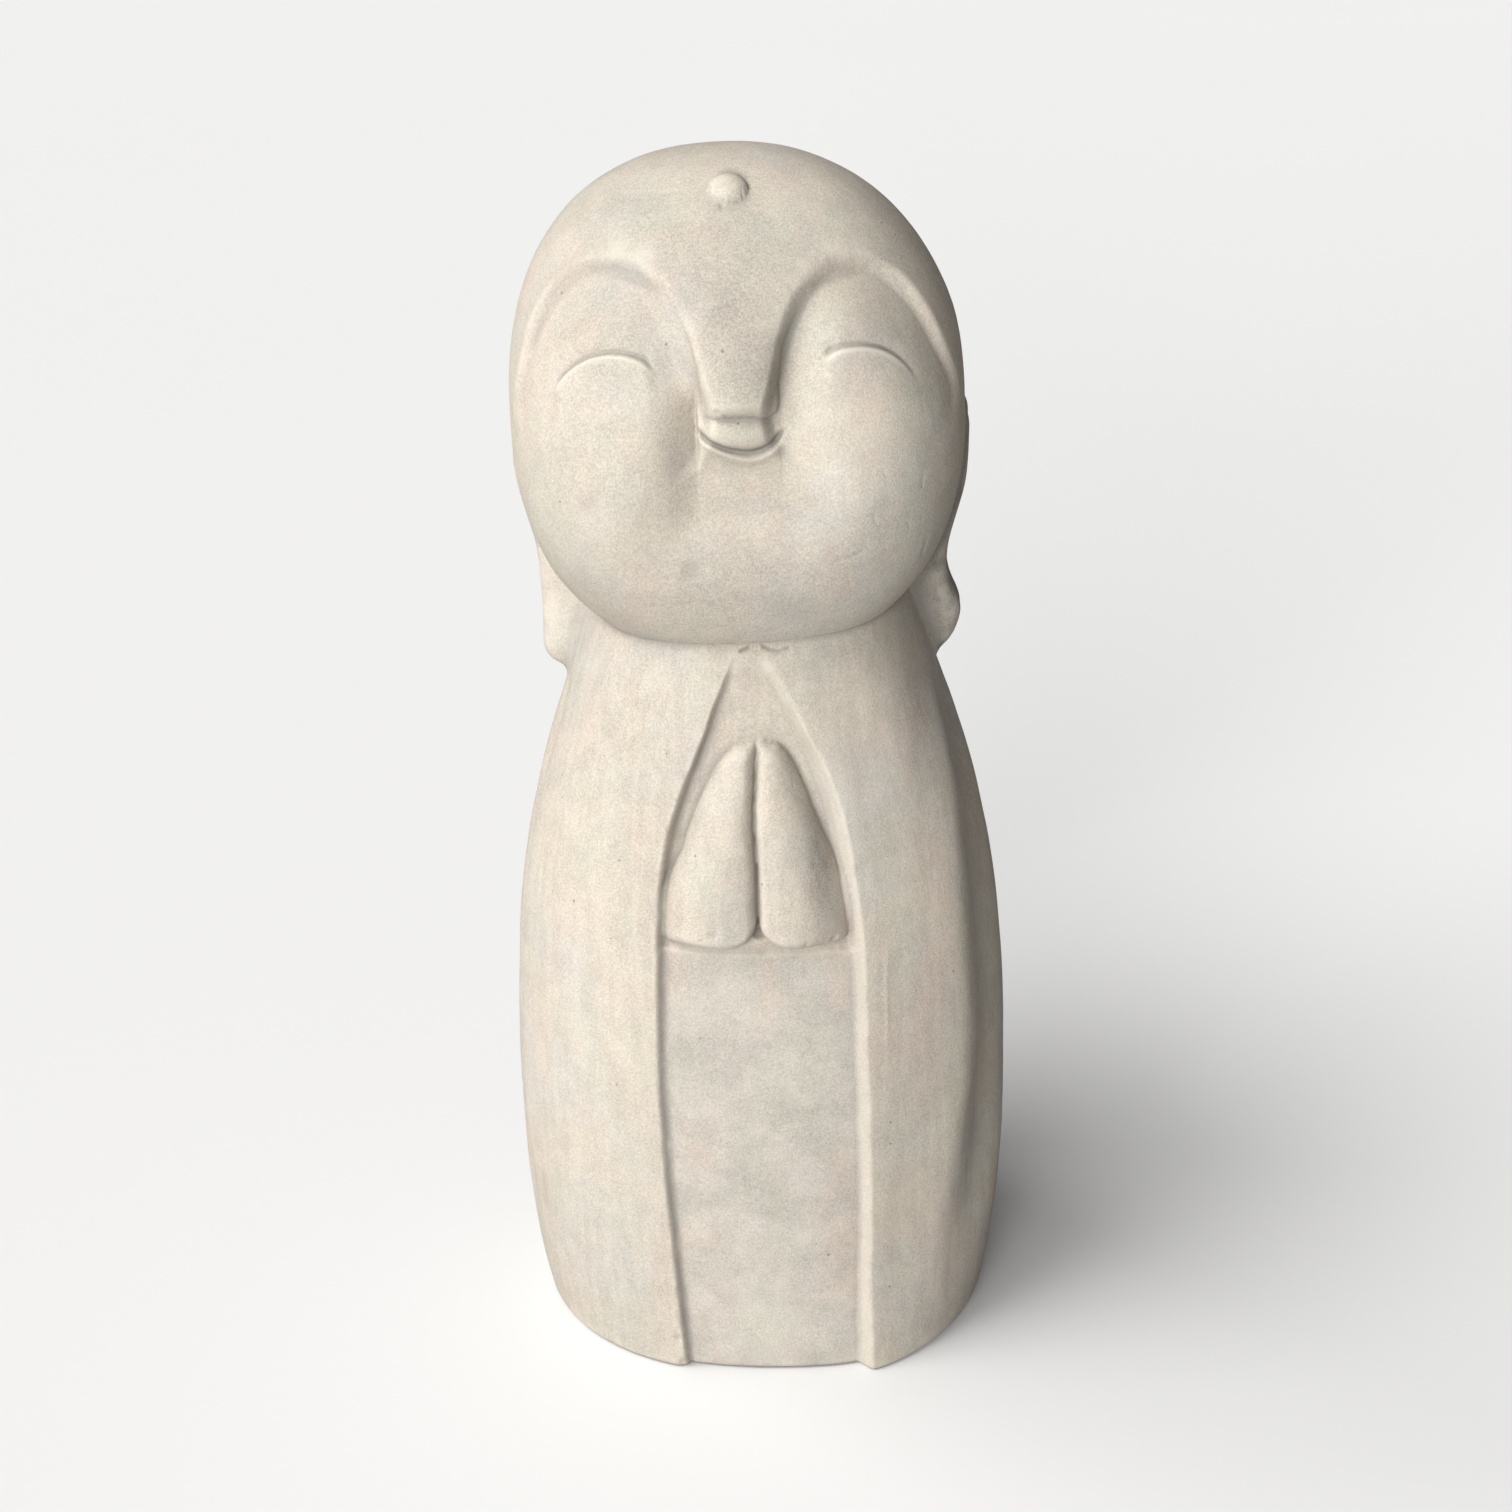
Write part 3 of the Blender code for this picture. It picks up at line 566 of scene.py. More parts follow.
def eyes_relief(x, z):
    """The closed eyes, each a lid with a cut line below it, and their lines of painted shadow and
    painted highlight.
    """
    relief = grime = 0
    # Each eye gets a line of painted shadow just above its cut and a painted highlight just below
    # it; dark and pale are their strengths
    for eye, start, end, dark, pale in ((EYE_LEFT, 3, 5, 0.9, 1.1), (EYE_RIGHT, 5, 17, 0.4, 2.2)):
        off, fade = above_line(x, z, eye, start, end)
        lid = 1.5 * np.exp(np.minimum(off, 0) / 6) * rise(0.4 - off / 2.2)
        cut = EYE_DEPTH * bump((off - 1.2) / 1.1)
        relief = relief + (lid - cut - 1.1 * bump((off - 3) / 2.6)) * fade
        grime = grime + (dark * bump((off - 1.7) / 0.9) - pale * bump((off + 1.5) / 0.9)) * fade
    return relief, grime


def chin_relief(x, z):
    """The chin and the corners of the mouth, sunk between full cheeks."""
    flank = np.clip((np.abs(x) - curve(z, CHIN_HALF)) / curve(z, CHIN_SLOPE), 0, 1)
    crisp = np.where(x < 0, *CHIN_CRISP) * rise((z + 62) / 44)
    chin = (1 - crisp) * (1 - rise(flank)) + crisp * (1 - flank) ** 2.2
    sunk = rise((-9 - z) / 24)
    fold = np.where(x < 0, *MOUTH_FOLD) * (1 - flank) ** 2.2 * rise((np.abs(x) - 16.5) / 2)
    hollow = CHIN_DEPTH * chin * sunk * rise((z + 92) / 45)
    hollow = hollow + fold * rise((10 - z) / 18) * (1 - sunk)
    cheeks = bump((np.abs(x) - CHEEK_PLACE[0]) / 30) * bump((z - CHEEK_PLACE[1]) / 32)
    return CHEEK_RISE * cheeks + CHIN_SAG * bump(x / 45) * rise((-86 - z) / 16) - hollow


def mark_relief(x, y, z):
    """The round mark on the forehead, with painted shadow round its lower right foot."""
    across, behind, up = x - MARK_PLACE[0], y - MARK_PLACE[1], z - MARK_PLACE[2]
    off = np.hypot(np.hypot(across, behind), up)
    # Painted shadow round the lower right of the mark
    grime = 0.8 * bump((off - MARK_RADIUS) / 1.3) * rise((across - up) / 10)
    return MARK_RISE * np.clip(1 - (off / MARK_RADIUS) ** 2, 0, 1) ** 0.6, grime


def face_relief(x, y, z):
    """Carving of the face, x and z measured on the face and y behind it."""
    parts = (socket_relief(x, z), mouth_relief(x, z), eyes_relief(x, z), mark_relief(x, y, z))
    relief = chin_relief(x, z) + sum(part[0] for part in parts)
    return relief * facing(y), sum(part[1] for part in parts) * facing(y)


def ear_relief(points, shape):
    """A hollow within the rim of each ear that runs out down its lobe."""
    x, y, z = points[..., 0], points[..., 1], points[..., 2]
    middle, breadth = ear_section(x, z, shape)
    off = (y - middle) / breadth
    tall = bump((z - EAR_HOLLOW_HEIGHT) / 19) + 0.45 * bump((z - LOBE_HEIGHT) / 26)
    outer = rise((np.abs(x - HEAD_CENTRE[0]) - shape.head_half[0] + 14) / 6)
    return -EAR_HOLLOW * bump(off / 0.27) * tall * outer


def dents(u, v, places):
    """Round hollows with a crisp rim, given as (across, up, radius, depth)."""
    return sum(-depth * np.clip(1 - (np.hypot(u - across, v - up) / radius) ** 2, 0, 1) ** 0.8
               for across, up, radius, depth in places)


def scratches(x, z, lines):
    """Short straight scratches, each deep as given along the line between its two ends."""
    total = 0
    for x0, z0, x1, z1, depth in lines:
        long = ((x - x0) * (x1 - x0) + (z - z0) * (z1 - z0)) / ((x1 - x0) ** 2 + (z1 - z0) ** 2)
        long = np.clip(long, 0, 1)
        off = np.hypot(x - x0 - long * (x1 - x0), z - z0 - long * (z1 - z0))
        total = np.maximum(total, depth * bump(off / 0.8))
    return total


def ovals(u, v, spots):
    """Marks of the finish: ovals that fade out, each with its own strength."""
    return sum(strength * bump(((u - across) / wide) ** 2 + ((v - up) / tall) ** 2)
               for across, up, wide, tall, strength in spots)


def blurred(values, times):
    """Values of the grid averaged with their four neighbours again and again."""
    for _ in range(times):
        sides = np.roll(values, 1, axis=1) + np.roll(values, -1, axis=1)
        below = np.concatenate((values[:1], values[:-1]))
        above = np.concatenate((values[1:], values[-1:]))
        values = (sides + below + above) / 4
    return values


def robe_carving(s, z, half_round, chips):
    """All that is carved into the robe, with its dark and pale ovals, dark cracks, painted shade
    and painted highlights.
    """
    opening, opening_shading = opening_relief(s, z + chips * bump((z - PANEL_TOP) / 8))
    hands, grime = hands_relief(s, z)
    cracks = scratches(s, z, CRACKS)
    place, foot, top, crest = ROBE_RIDGE
    ridge = crest * bump((s - place) / 1.3) * rise((z - foot) / 14) * rise((top - z) / 14)
    relief = opening + hands + fold_relief(s, z, half_round) + dents(s, z, ROBE_DENTS)
    return relief + ridge - cracks, ovals(s, z, ROBE_STAINS_AND_SHADE) + opening_shading + grime + 1.4 * cracks


def head_carving(x, y, z):
    """All that is carved into the head, with its dark and pale ovals, painted shade and painted
    highlights.
    """
    face, lines = face_relief(x, y, z)
    marks = dents(x, z, HEAD_DENTS) - scratches(x, z, SCUFFS)
    return face + marks * facing(y), ovals(x, z, HEAD_STAINS) * facing(y) + lines


def sole_inset(levels, s):
    """How far the rounded edge of the sole lies inside the form above it."""
    to_right = rise((s - 55) / 40) * rise((240 - s) / 60)
    sole = SOLE_ROUND + (SOLE_ROUND_RIGHT - SOLE_ROUND) * to_right
    return sole * (1 - quarter(levels[:, :1] / sole)) * (levels[:, 1:] == 0)


def carved_surface(levels, turns, shape, swell):
    """The finished figure: its points in grid units, and what its finish needs at each point.

    The plain form is found along the rays. Every part of the carving is a height over it, a
    function of the distance round and the height on the robe, or of the place on the face, and
    moves the point along the plain form's normal.
    """
    plain = plain_surface(levels, turns, shape)
    normals = outward(plain, shape)
    low = levels[:, 1:] == 0
    wander = clouds(plain, WANDER, 1)
    drift = clouds(plain, WANDER, 3)
    s, half_round = distance_round(plain)
    s = s + wander
    z = plain[..., 2] + drift * rise(plain[..., 2] / 8)
    robe, robe_stain_and_shade = robe_carving(s, z, half_round, clouds(plain, CHIPS, 8))
    local = on_head(plain)
    x, y, up = local[..., 0] + 0.4 * wander, local[..., 1], local[..., 2] + 0.4 * drift
    head, head_stain_and_shade = head_carving(x, y, up)
    to_head = head_distance(plain, shape)
    to_robe = robe_distance(plain, shape)
    nearer = rise((to_head - to_robe) / 3 + 0.5) * low
    # Painted shade in the crease where the head meets the robe
    neck_crease_shade = bump(to_head / 1.5) * bump(to_robe / 1.5) * low
    # Darkening over the right ear, partly dirt and partly painted shade, as the ear faces away from
    # the light
    right_ear = rise(1 - ear_distance(plain, shape) / 2) * (plain[..., 0] > 0) * low
    relief = robe * nearer + head * (1 - nearer) + ear_relief(plain, shape) * low
    relief = relief + swell * clouds(plain, UNEVEN, 5)
    carved = plain + normals * relief[..., None]
    carved = carved - normals * (1, 1, 0) * sole_inset(levels, s)[..., None]
    carved[0, :, 2] = 0
    lifted = np.sum((blurred(carved, 14) - carved) * normals, axis=-1)
    inside = rise(s - curve(z, OPENING_LEFT)) * rise(curve(z, OPENING_RIGHT) - s)
    head_tone_and_light = ovals(x, up, HEAD_TONES_AND_LIGHT) * facing(y)
    coats = {
        # Hollows and grooves, darkened later by dirt and painted shade
        "hollow": rise(lifted / 0.55),
        "edge": rise((-lifted - 0.12) / 0.5),
        "panel": inside * rise((PANEL_TOP - z) / 3) * nearer,
        "robe": nearer,
        # Stains, the painted shade and highlights of the carving, painted shade in the neck crease
        # and, partly dirt, over the right ear
        "stain": robe_stain_and_shade * nearer + head_stain_and_shade * (1 - nearer) + neck_crease_shade + 0.8 * right_ear,
        # The stone's own broad tone together with painted light and shade, and painted shade over
        # the right ear
        "tone": ovals(s, z, ROBE_TONES_AND_LIGHT) * nearer + head_tone_and_light * (1 - nearer) - 0.48 * right_ear,
    }
    return carved, coats


def stepped(stretches):
    """Places one after the other, closer in some stretches than in others."""
    ends = zip(stretches, stretches[1:])
    return np.concatenate([np.arange(start, end, step) for (start, step), (end, _) in ends])


def drawing_grid():
    """Levels as (height, climb of the ray) and turns round the axis, closest at the front."""
    heights = np.concatenate((SOLE_LEVELS, stepped(HEIGHT_STEPS)))
    climbs = np.radians(stepped(CLIMB_STEPS))
    low = np.stack((heights, np.zeros_like(heights)), 1)
    high = np.stack((np.full_like(climbs, HEAD_CENTRE[2]), climbs), 1)
    side = stepped(TURN_STEPS)
    ears = TURN_STEPS[-1][0]
    back = np.arange(ears, 360 - ears, BACK_STEP)
    turns = np.radians(np.concatenate((side, back, 360 - side[:0:-1])))
    return np.concatenate((low, high)), turns


def grid_faces(rows, columns):
    """Quads of the grid, closed round the figure, with a fan at the crown and one at the sole."""
    row = np.arange(rows - 1)[:, None] * columns
    column = np.arange(columns)
    after = (column + 1) % columns
    quads = np.stack((row + column, row + after, row + after + columns, row + column + columns), -1)
    crown = rows * columns
    last = crown - columns
    top = np.stack((last + column, last + after, np.full(columns, crown)), -1)
    foot = np.stack((after, column, np.full(columns, crown + 1)), -1)
    return quads.reshape(-1, 4).tolist() + top.tolist() + foot.tolist()


def surface_object(name, points, faces, coats):
    """A mesh object from whole arrays, with one float attribute for each coat."""
    mesh = bpy.data.meshes.new(name)
    mesh.from_pydata(points, [], faces)
    for coat, values in coats.items():
        layer = mesh.attributes.new(coat, "FLOAT", "POINT")
        layer.data.foreach_set("value", np.ascontiguousarray(values, np.float32))
    mesh.shade_smooth()
    surface = bpy.data.objects.new(name, mesh)
    bpy.context.scene.collection.objects.link(surface)
    return surface


def thin_out(surface, triangles):
    """Collapse the grid where the surface is plain, down to a number of triangles."""
    surface.data.calc_loop_triangles()
    thinner = surface.modifiers.new("Facets", "DECIMATE")
    thinner.ratio = min(1.0, triangles / len(surface.data.loop_triangles))
    thinned = surface.evaluated_get(bpy.context.evaluated_depsgraph_get())
    mesh = bpy.data.meshes.new_from_object(thinned)
    surface.modifiers.clear()
    drawn = surface.data
    surface.data = mesh
    bpy.data.meshes.remove(drawn)
    mesh.name = surface.name


# Materials


class Nodes:
    """Adds nodes to a tree; an input's value is a constant or another node's output."""

    def __init__(self, tree):
        self.tree = tree

    def add(self, kind, inputs=None, **settings):
        """A node of this kind with its inputs and settings in place."""
        made = self.tree.nodes.new(kind)
        for name, value in settings.items():
            setattr(made, name, value)
        for socket, value in (inputs or {}).items():
            if isinstance(value, bpy.types.NodeSocket):
                self.tree.links.new(value, made.inputs[socket])
            else:
                made.inputs[socket].default_value = value
        return made

    def maths(self, operation, first, second=0.0, third=0.0):
        """One sum, product or the like of numbers."""
        inputs = {0: first, 1: second, 2: third}
        return self.add("ShaderNodeMath", inputs, operation=operation).outputs[0]

    def ramp(self, value, low, high, start=0.0, end=1.0):
        """A value spread smoothly from low..high to start..end."""
        inputs = {"Value": value, "From Min": low, "From Max": high, "To Min": start, "To Max": end}
        made = self.add("ShaderNodeMapRange", inputs, interpolation_type="SMOOTHSTEP")
        return made.outputs["Result"]

    def times(self, first, second):
        """Product of two numbers."""
        return self.maths("MULTIPLY", first, second)

    def total(self, *values):
        """Sum of several numbers."""
        result = values[0]
        for value in values[1:]:
            result = self.maths("ADD", result, value)
        return result

    def mix(self, share, first, second, blend="MIX"):
        """One colour laid over another."""
        inputs = {0: share, 6: first, 7: second}
        return self.add("ShaderNodeMix", inputs, data_type="RGBA", blend_type=blend).outputs[2]

    def noise(self, vector, size, detail=2.0, roughness=0.5):
        """Cloud noise of the given size, from 0 to 1."""
        scale = self.maths("DIVIDE", 1.0, size)
        inputs = {"Vector": vector, "Scale": scale, "Detail": detail, "Roughness": roughness}
        return self.add("ShaderNodeTexNoise", inputs).outputs[0]

    def coat(self, name):
        """A value that the mesh carries at each point."""
        return self.add("ShaderNodeAttribute", attribute_name=name).outputs["Fac"]


def new_group(name, inputs, outputs):
    """An empty node group with float inputs and outputs and one vector input."""
    group = bpy.data.node_groups.new(name, "ShaderNodeTree")
    sockets = group.interface
    sockets.new_socket("Vector", in_out="INPUT", socket_type="NodeSocketVector")
    for label in inputs:
        sockets.new_socket(label, in_out="INPUT", socket_type="NodeSocketFloat")
    for label in outputs:
        sockets.new_socket(label, in_out="OUTPUT", socket_type="NodeSocketFloat")
    nodes = Nodes(group)
    given = nodes.add("NodeGroupInput").outputs
    taken = nodes.add("NodeGroupOutput").inputs
    return group, nodes, given, taken


def sand_group():
    """Sand grain: Tone is a small lightening or darkening, Height a fine roughness, both 0 to 1."""
    group, nodes, given, taken = new_group("Sand grain", ("Size",), ("Tone", "Height"))
    fine = nodes.noise(given["Vector"], given["Size"], 3.0, 0.7)
    scale = nodes.maths("DIVIDE", 0.8, given["Size"])
    cells = nodes.add("ShaderNodeTexVoronoi", {"Vector": given["Vector"], "Scale": scale})
    pick = nodes.add("ShaderNodeSeparateColor", {0: cells.outputs["Color"]}).outputs[0]
    near = nodes.ramp(cells.outputs["Distance"], 0.18, 0.5, 1.0, 0.0)
    dark = nodes.times(nodes.ramp(pick, 0.80, 0.92), near)
    pale = nodes.times(nodes.ramp(pick, 0.14, 0.04), near)
    specks = (nodes.times(dark, -0.6), nodes.times(pale, 0.5))
    tone = nodes.total(nodes.ramp(fine, 0.25, 0.75), *specks)
    group.links.new(tone, taken["Tone"])
    group.links.new(fine, taken["Height"])
    return group


def pits_group():
    """Air pits: Mask is 1 in a pit; Share is how many of the cells of Spacing hold one."""
    group, nodes, given, taken = new_group("Air pits", ("Spacing", "Share"), ("Mask",))
    scale = nodes.maths("DIVIDE", 1.0, given["Spacing"])
    cells = nodes.add("ShaderNodeTexVoronoi", {"Vector": given["Vector"], "Scale": scale})
    picks = nodes.add("ShaderNodeSeparateColor", {0: cells.outputs["Color"]})
    chosen = nodes.maths("LESS_THAN", picks.outputs[0], given["Share"])
    radius = nodes.maths("MULTIPLY_ADD", picks.outputs[1], 0.10, 0.04)
    depth = nodes.maths("SUBTRACT", radius, cells.outputs["Distance"])
    mask = nodes.times(nodes.ramp(depth, 0.0, 0.07), chosen)
    group.links.new(mask, taken["Mask"])
    return group


def streaks_group():
    """Brushed streaks that run up the figure: Streak goes from 0 to 1."""
    group, nodes, given, taken = new_group("Brushed streaks", ("Width", "Stretch"), ("Streak",))
    squeeze = nodes.maths("DIVIDE", 1.0, given["Stretch"])
    scale = nodes.add("ShaderNodeCombineXYZ", {0: 1.0, 1: 1.0, 2: squeeze}).outputs[0]
    long = nodes.add("ShaderNodeMapping", {"Vector": given["Vector"], "Scale": scale}).outputs[0]
    streak = nodes.ramp(nodes.noise(long, given["Width"]), 0.3, 0.7)
    group.links.new(streak, taken["Streak"])
    return group


def grouped(nodes, group, vector, **values):
    """A node group placed in a material with its own values."""
    made = nodes.add("ShaderNodeGroup", node_tree=group)
    nodes.tree.links.new(vector, made.inputs["Vector"])
    for name, value in values.items():
        made.inputs[name].default_value = value
    return made.outputs


def empty_material(name, roughness):
    """A material with its Principled shader and the place on the object."""
    material = bpy.data.materials.new(name)
    material.use_nodes = True
    shader = material.node_tree.nodes["Principled BSDF"]
    shader.inputs["Roughness"].default_value = roughness
    nodes = Nodes(material.node_tree)
    place = nodes.add("ShaderNodeTexCoord").outputs["Object"]
    return material, shader, nodes, place


def opaque(colour):
    """A colour with its alpha."""
    return (*colour, 1.0)


def stone_colour(nodes, finish, place, panel):
    """Warm stone with cool, weathered and rosy patches, coolest on the inner panel."""
    patch = nodes.noise(place, 60 * MM, 4.0, 0.6)
    cool = nodes.ramp(patch, 0.42, 0.68, 0.05, 0.75)
    cool = nodes.maths("MAXIMUM", cool, nodes.times(panel, 0.62))
    colour = nodes.mix(cool, opaque(finish.warm), opaque(finish.cool))
    long = nodes.add("ShaderNodeMapping", {"Vector": place, "Scale": (1, 1, 0.5)}).outputs[0]
    moss = nodes.noise(long, 30 * MM, 4.0, 0.6)
    colour = nodes.mix(nodes.ramp(moss, 0.5, 0.7, 0.0, 0.6), colour, opaque(finish.green))
    return nodes.mix(nodes.ramp(moss, 0.5, 0.34, 0.0, 0.6), colour, opaque(finish.rosy))


def stone_tone(nodes, place, panel, mottle, streaks, grain):
    """Grey round 1 that lightens or darkens the stone, with the broad painted light and shade of
    the tone coat.
    """
    brushed = nodes.maths("SUBTRACT", nodes.coat("robe"), panel)
    brushed = nodes.times(nodes.ramp(streaks, 0, 1, -0.035, 0.035), brushed)
    cloudy = nodes.ramp(nodes.noise(place, 26 * MM, 5.0, 0.65), 0.35, 0.65, -0.07, 0.07)
    speckle = nodes.ramp(nodes.noise(place, 2.2 * MM), 0.3, 0.7, -0.03, 0.03)
    tone = nodes.total(nodes.ramp(mottle, 0.3, 0.7, -0.04, 0.04), brushed,
                       nodes.times(cloudy, panel),
                       nodes.ramp(grain, 0, 1, -0.14, 0.14), speckle, nodes.coat("tone"), 1.0)
    return nodes.add("ShaderNodeCombineColor", {0: tone, 1: tone, 2: tone}).outputs[0]


def stone_material(finish):
    """Cast stone: warm and cool patches, brushed streaks, sand grain, pits, dirt and painted shade
    in hollows, and painted shade and highlights along lines.
    """
    material, shader, nodes, place = empty_material("cast stone", finish.roughness)
    shader.inputs["Specular IOR Level"].default_value = 0.25
    grain = grouped(nodes, sand_group(), place, Size=finish.grain_size)
    pits = grouped(nodes, pits_group(), place, Spacing=6 * MM, Share=finish.pit_share)["Mask"]
    streaks = grouped(nodes, streaks_group(), place, Width=5 * MM, Stretch=9.0)["Streak"]
    mottle = nodes.noise(place, 11 * MM, 3.0, 0.55)
    panel, stain = nodes.coat("panel"), nodes.coat("stain")
    colour = stone_colour(nodes, finish, place, panel)
    tone = stone_tone(nodes, place, panel, mottle, streaks, grain["Tone"])
    colour = nodes.mix(1.0, colour, tone, "MULTIPLY")
    # Dirt and painted shade in hollows, and the painted shade of the stain coat, darken the colour
    hollow = nodes.times(nodes.coat("hollow"), finish.dirt_and_shade_share)
    dirt_and_shade = nodes.total(hollow, nodes.times(stain, 0.4))
    dirt_and_shade = nodes.times(dirt_and_shade, nodes.ramp(mottle, 0.2, 0.7, 0.6, 1.2))
    colour = nodes.mix(nodes.maths("MAXIMUM", dirt_and_shade, 0.0), colour, opaque(finish.dirt_and_shade))
    worn = nodes.times(nodes.coat("edge"), nodes.ramp(mottle, 0.3, 0.6, 0.05, 0.4))
    # Painted highlights from the stain coat lighten the colour together with the worn edges
    pale = nodes.maths("MAXIMUM", worn, nodes.times(stain, -0.6))
    colour = nodes.mix(nodes.maths("MAXIMUM", pale, 0.0), colour, opaque(finish.pale))
    colour = nodes.mix(nodes.times(pits, 0.75), colour, opaque(finish.dirt_and_shade))
    nodes.tree.links.new(colour, shader.inputs["Base Color"])
    height = nodes.ramp(grain["Height"], 0, 1, 0, finish.grain_depth)
    for layer, share in ((pits, -0.5), (mottle, 0.12), (streaks, 0.05)):
        height = nodes.maths("MULTIPLY_ADD", layer, share, height)
    relief = nodes.add("ShaderNodeBump", {"Height": height, "Distance": MM})
    nodes.tree.links.new(relief.outputs[0], shader.inputs["Normal"])
    return material


def floor_material(stage):
    """Smooth pale floor with the faintest cloud in it."""
    material, shader, nodes, place = empty_material("pale floor", 0.95)
    shader.inputs["Specular IOR Level"].default_value = 0.0
    seen = nodes.add("ShaderNodeLightPath").outputs["Is Camera Ray"]
    colour = nodes.mix(seen, opaque(stage.floor_return), opaque(stage.floor_colour))
    cloudy = nodes.ramp(nodes.noise(place, 0.6), 0.2, 0.8, 0.0, 0.02)
    colour = nodes.mix(cloudy, colour, opaque((0.5, 0.5, 0.5)))
    nodes.tree.links.new(colour, shader.inputs["Base Color"])
    return material


# Sizes and colours that a user would change


def metres(name, text, default):
    """A length property."""
    return FloatProperty(name=name, description=text, default=default, min=0.0001, unit="LENGTH",
                         precision=4)


def factor(name, text, default, most=1.0):
    """A plain number from 0 up."""
    return FloatProperty(name=name, description=text, default=default, min=0.0, max=most)


def tint(name, text, default):
    """A linear colour."""
    return FloatVectorProperty(name=name, description=text, default=default, subtype="COLOR",
                               size=3, min=0.0, max=1.0)


def degrees(name, text, default):
    """An angle, given in degrees."""
    return FloatProperty(name=name, description=text, default=radians(default), subtype="ANGLE")


class FigureSizes(bpy.types.PropertyGroup):
    """Sizes of the statue."""

    height: metres("Height", "From the sole to the crown", node_high.z - node_low.z)
    robe_width: metres("Robe width", "Widest across the robe", 0.249)
    robe_depth: metres("Robe depth", "Deepest through the robe", 0.207)
    head_width: metres("Head width", "Widest across the head", 0.205)
    head_depth: metres("Head depth", "From brow to back of the head", 0.192)
    swell: factor("Swell", "Unevenness of the hand worked surface", 1.0, 5.0)
    triangles: IntProperty(name="Triangles", description="Triangles kept from the drawing's grid",
                           default=196000, min=4000, max=199000)


class StoneFinish(bpy.types.PropertyGroup):
    """Colours and grain of the cast stone."""

    warm: tint("Warm stone", "Sandy colour of most of the casting", (0.490, 0.440, 0.370))
    cool: tint("Cool stone", "Grey patches and the robe's inner panel", (0.448, 0.426, 0.388))
    green: tint("Weathered stone", "Faint green grey patches", (0.448, 0.436, 0.366))
    rosy: tint("Rosy stone", "Faint warm patches", (0.505, 0.428, 0.365))
    # Worn stone is also the colour of the painted highlights
    pale: tint("Worn stone", "Rubbed edges", (0.60, 0.555, 0.48))
    # Dirt is also the colour of painted shade in hollows and lines, and its share darkens hollows
    # with both
    dirt_and_shade: tint("Dirt", "In grooves and pits", (0.27, 0.25, 0.225))
    dirt_and_shade_share: factor("Dirt share", "How much the grooves are darkened", 0.4)
    roughness: factor("Roughness", "Of the dry stone", 0.9)
    grain_size: metres("Grain size", "Of the sand", 0.0009)
    grain_depth: factor("Grain depth", "Height of the grains, in millimetres", 0.16)
    pit_share: factor("Pits", "Share of the places for an air pit that hold one", 0.12)


class StageLooks(bpy.types.PropertyGroup):
    """Floor, light and camera. Turns start straight in front of the figure."""

    floor_colour: tint("Floor", "Pale floor as it is seen", (0.79, 0.79, 0.79))
    floor_return: tint("Floor return", "Pale floor as it lights the figure", (0.33, 0.32, 0.31))
    floor_size: metres("Floor size", "Side of the square floor", 16.0)
    front_strength: factor("Front light", "Strength of the low light from the front", 3.95, 20)
    front_round: degrees("Front turn", "To the viewer's left", 18)
    front_climb: degrees("Front height", "Above the floor", 8)
    high_strength: factor("High light", "Strength of the light from above", 2.3, 20)
    high_round: degrees("High turn", "To the viewer's left", 62)
    high_climb: degrees("High height", "Above the floor", 55)
    back_strength: factor("Back light", "Strength of the light from behind", 0.8, 20)
    back_round: degrees("Back turn", "To the viewer's left", 108)
    back_climb: degrees("Back height", "Above the floor", 30)
    light_spread: degrees("Light spread", "Softness of all shadows", 34)
    light_colour: tint("Light colour", "Of all three lights", (1.0, 0.995, 0.985))
    sky_strength: factor("Sky", "Strength of the even light from all round", 0.20, 5)
    camera_round: degrees("Camera turn", "To the viewer's right", 3)
    camera_climb: degrees("Camera height", "Above the horizon", 28)
    camera_roll: degrees("Camera roll", "Clockwise turn about the line of sight", 1.2)
    camera_away: metres("Camera distance", "From the point it looks at", 1.3)
    camera_aim: metres("Aim height", "Of the point the camera looks at", 0.301)
    camera_lens: FloatProperty(name="Lens", description="Focal length for a 36 mm sensor, in mm",
                               default=63.45, min=10.0, max=300.0)


def direction(turn, climb):
    """Unit vector towards a place seen at a turn from straight in front and a climb."""
    level = np.cos(climb)
    return Vector((np.sin(turn) * level, -np.cos(turn) * level, np.sin(climb)))


class FIGURE_OT_carve(bpy.types.Operator):
    """Carve the statue at its fine grid and finish it in cast stone"""

    bl_idname = "figure.carve_statue"
    bl_label = "Carve statue"

    def execute(self, context):
        sizes = context.scene.figure_sizes
        unit = sizes.height / GRID
        shape = Shape((sizes.robe_width / unit / 2, sizes.robe_depth / unit / 2),
                      (sizes.head_width / unit / 2, sizes.head_depth / unit / 2))
        levels, turns = drawing_grid()
        points, coats = carved_surface(levels, turns, shape, sizes.swell)
        rows, columns = points.shape[:2]
        poles = np.stack((points[-1].mean(axis=0), points[0].mean(axis=0)))
        points = np.vstack((points.reshape(-1, 3), poles)) * unit
        coats = {name: np.append(values.ravel(), (0, 0)) for name, values in coats.items()}
        statue = surface_object("stone_monk", points, grid_faces(rows, columns), coats)
        thin_out(statue, sizes.triangles)
        statue.data.materials.append(stone_material(context.scene.stone_finish))
        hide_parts("statue")
        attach(statue, "root")
        return {"FINISHED"}


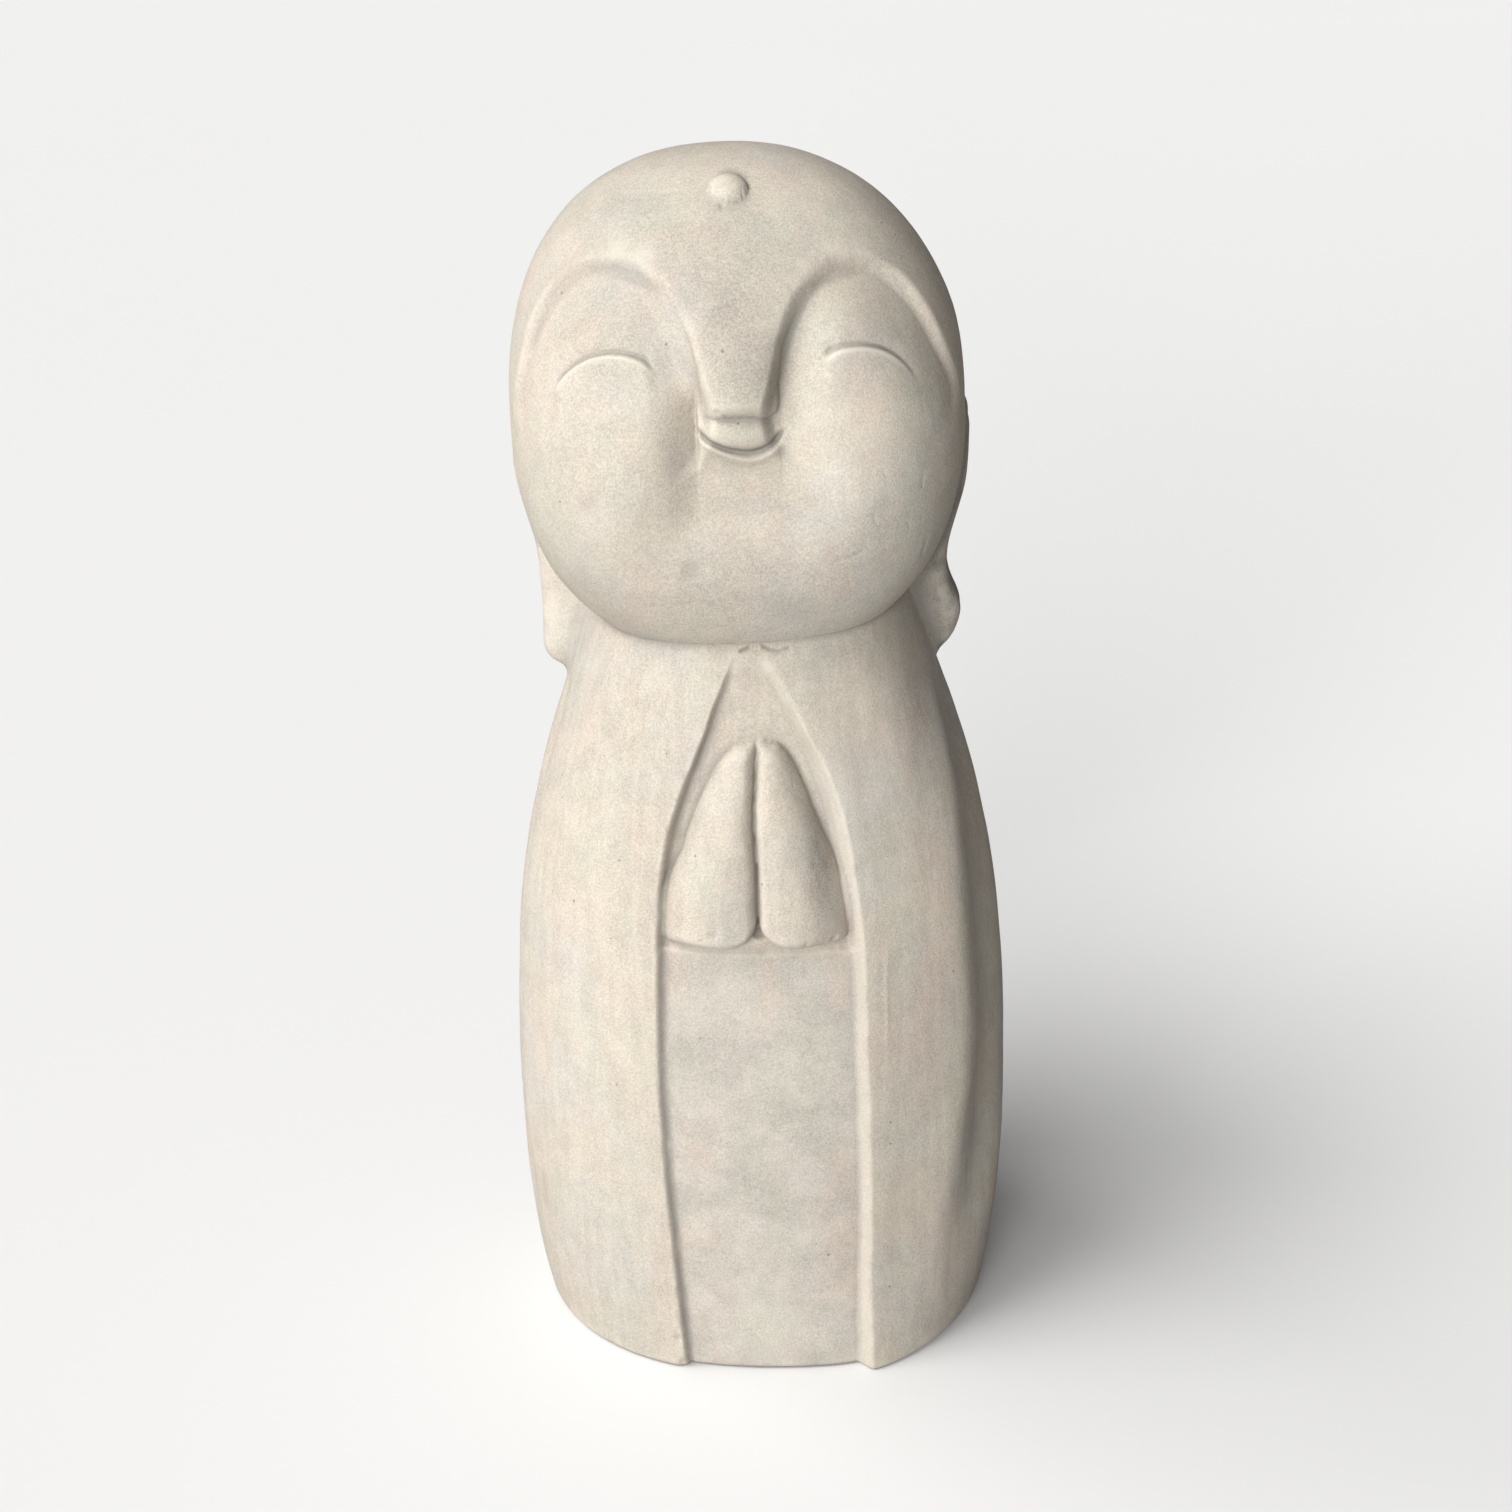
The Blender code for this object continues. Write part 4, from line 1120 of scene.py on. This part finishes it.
class FIGURE_OT_stage(bpy.types.Operator):
    """Lay the pale floor and set the soft light and the camera"""

    bl_idname = "figure.set_stage"
    bl_label = "Set stage"

    def execute(self, context):
        looks = context.scene.stage_looks
        self.lay_floor(looks)
        self.light(context.scene, looks)
        self.aim_camera(context.scene, looks)
        context.scene.view_settings.view_transform = "Standard"
        return {"FINISHED"}

    def lay_floor(self, looks):
        """A square floor just under the sole."""
        side = np.array((-0.5, 0.5)) * looks.floor_size
        x, y = np.meshgrid(side, side)
        points = np.stack((x.ravel(), y.ravel(), np.full(4, -0.0002)), -1)
        floor = surface_object("floor", points, [(0, 1, 3, 2)], {})
        floor.data.materials.append(floor_material(looks))

    def light(self, scene, looks):
        """A broad low light in front, soft ones above and behind on the left, and an even sky."""
        for name in ("front", "high", "back"):
            sun = bpy.data.lights.new(name + " light", "SUN")
            sun.energy = getattr(looks, name + "_strength")
            sun.angle = looks.light_spread
            sun.color = looks.light_colour
            lamp = bpy.data.objects.new(sun.name, sun)
            scene.collection.objects.link(lamp)
            turn = getattr(looks, name + "_round")
            towards = direction(-turn, getattr(looks, name + "_climb"))
            lamp.location = towards * 3
            lamp.rotation_euler = towards.to_track_quat("Z", "Y").to_euler()
        scene.world = bpy.data.worlds.new("sky")
        scene.world.use_nodes = True
        sky = scene.world.node_tree.nodes["Background"].inputs
        sky["Color"].default_value = (1, 1, 1, 1)
        sky["Strength"].default_value = looks.sky_strength

    def aim_camera(self, scene, looks):
        """The camera at the photograph's angle, turned a little about its line of sight."""
        lens = bpy.data.cameras.new("camera")
        lens.sensor_width = 36.0
        lens.lens = looks.camera_lens
        camera = bpy.data.objects.new("camera", lens)
        scene.collection.objects.link(camera)
        back = direction(looks.camera_round, looks.camera_climb)
        camera.location = Vector((0, 0, looks.camera_aim)) + back * looks.camera_away
        level = (-back).to_track_quat("-Z", "Y")
        roll = Quaternion((0, 0, 1), -looks.camera_roll)
        camera.rotation_mode = "QUATERNION"
        camera.rotation_quaternion = level @ roll
        scene.camera = camera


class FIGURE_PT_panel(bpy.types.Panel):
    """Sidebar panel with the sizes, colours and steps."""

    bl_idname = "FIGURE_PT_panel"
    bl_label = "Stone Figure"
    bl_space_type = "VIEW_3D"
    bl_region_type = "UI"
    bl_category = "Stone Figure"

    def draw(self, context):
        scene = context.scene
        for owner, step in ((scene.figure_sizes, "figure.carve_statue"),
                            (scene.stone_finish, None), (scene.stage_looks, "figure.set_stage")):
            box = self.layout.box()
            for name in type(owner).__annotations__:
                box.prop(owner, name)
            if step:
                box.operator(step)


CLASSES = (FigureSizes, StoneFinish, StageLooks, FIGURE_OT_carve, FIGURE_OT_stage, FIGURE_PT_panel)


def register():
    """Make the properties, operators and the panel known."""
    for made in CLASSES:
        bpy.utils.register_class(made)
    bpy.types.Scene.figure_sizes = PointerProperty(type=FigureSizes)
    bpy.types.Scene.stone_finish = PointerProperty(type=StoneFinish)
    bpy.types.Scene.stage_looks = PointerProperty(type=StageLooks)


def unregister():
    """Take them away again."""
    del bpy.types.Scene.stage_looks
    del bpy.types.Scene.stone_finish
    del bpy.types.Scene.figure_sizes
    for made in reversed(CLASSES):
        bpy.utils.unregister_class(made)


def main():
    """Build the whole scene."""
    register()
    bpy.ops.figure.set_stage()
    bpy.ops.figure.carve_statue()


if __name__ == "__main__":
    main()
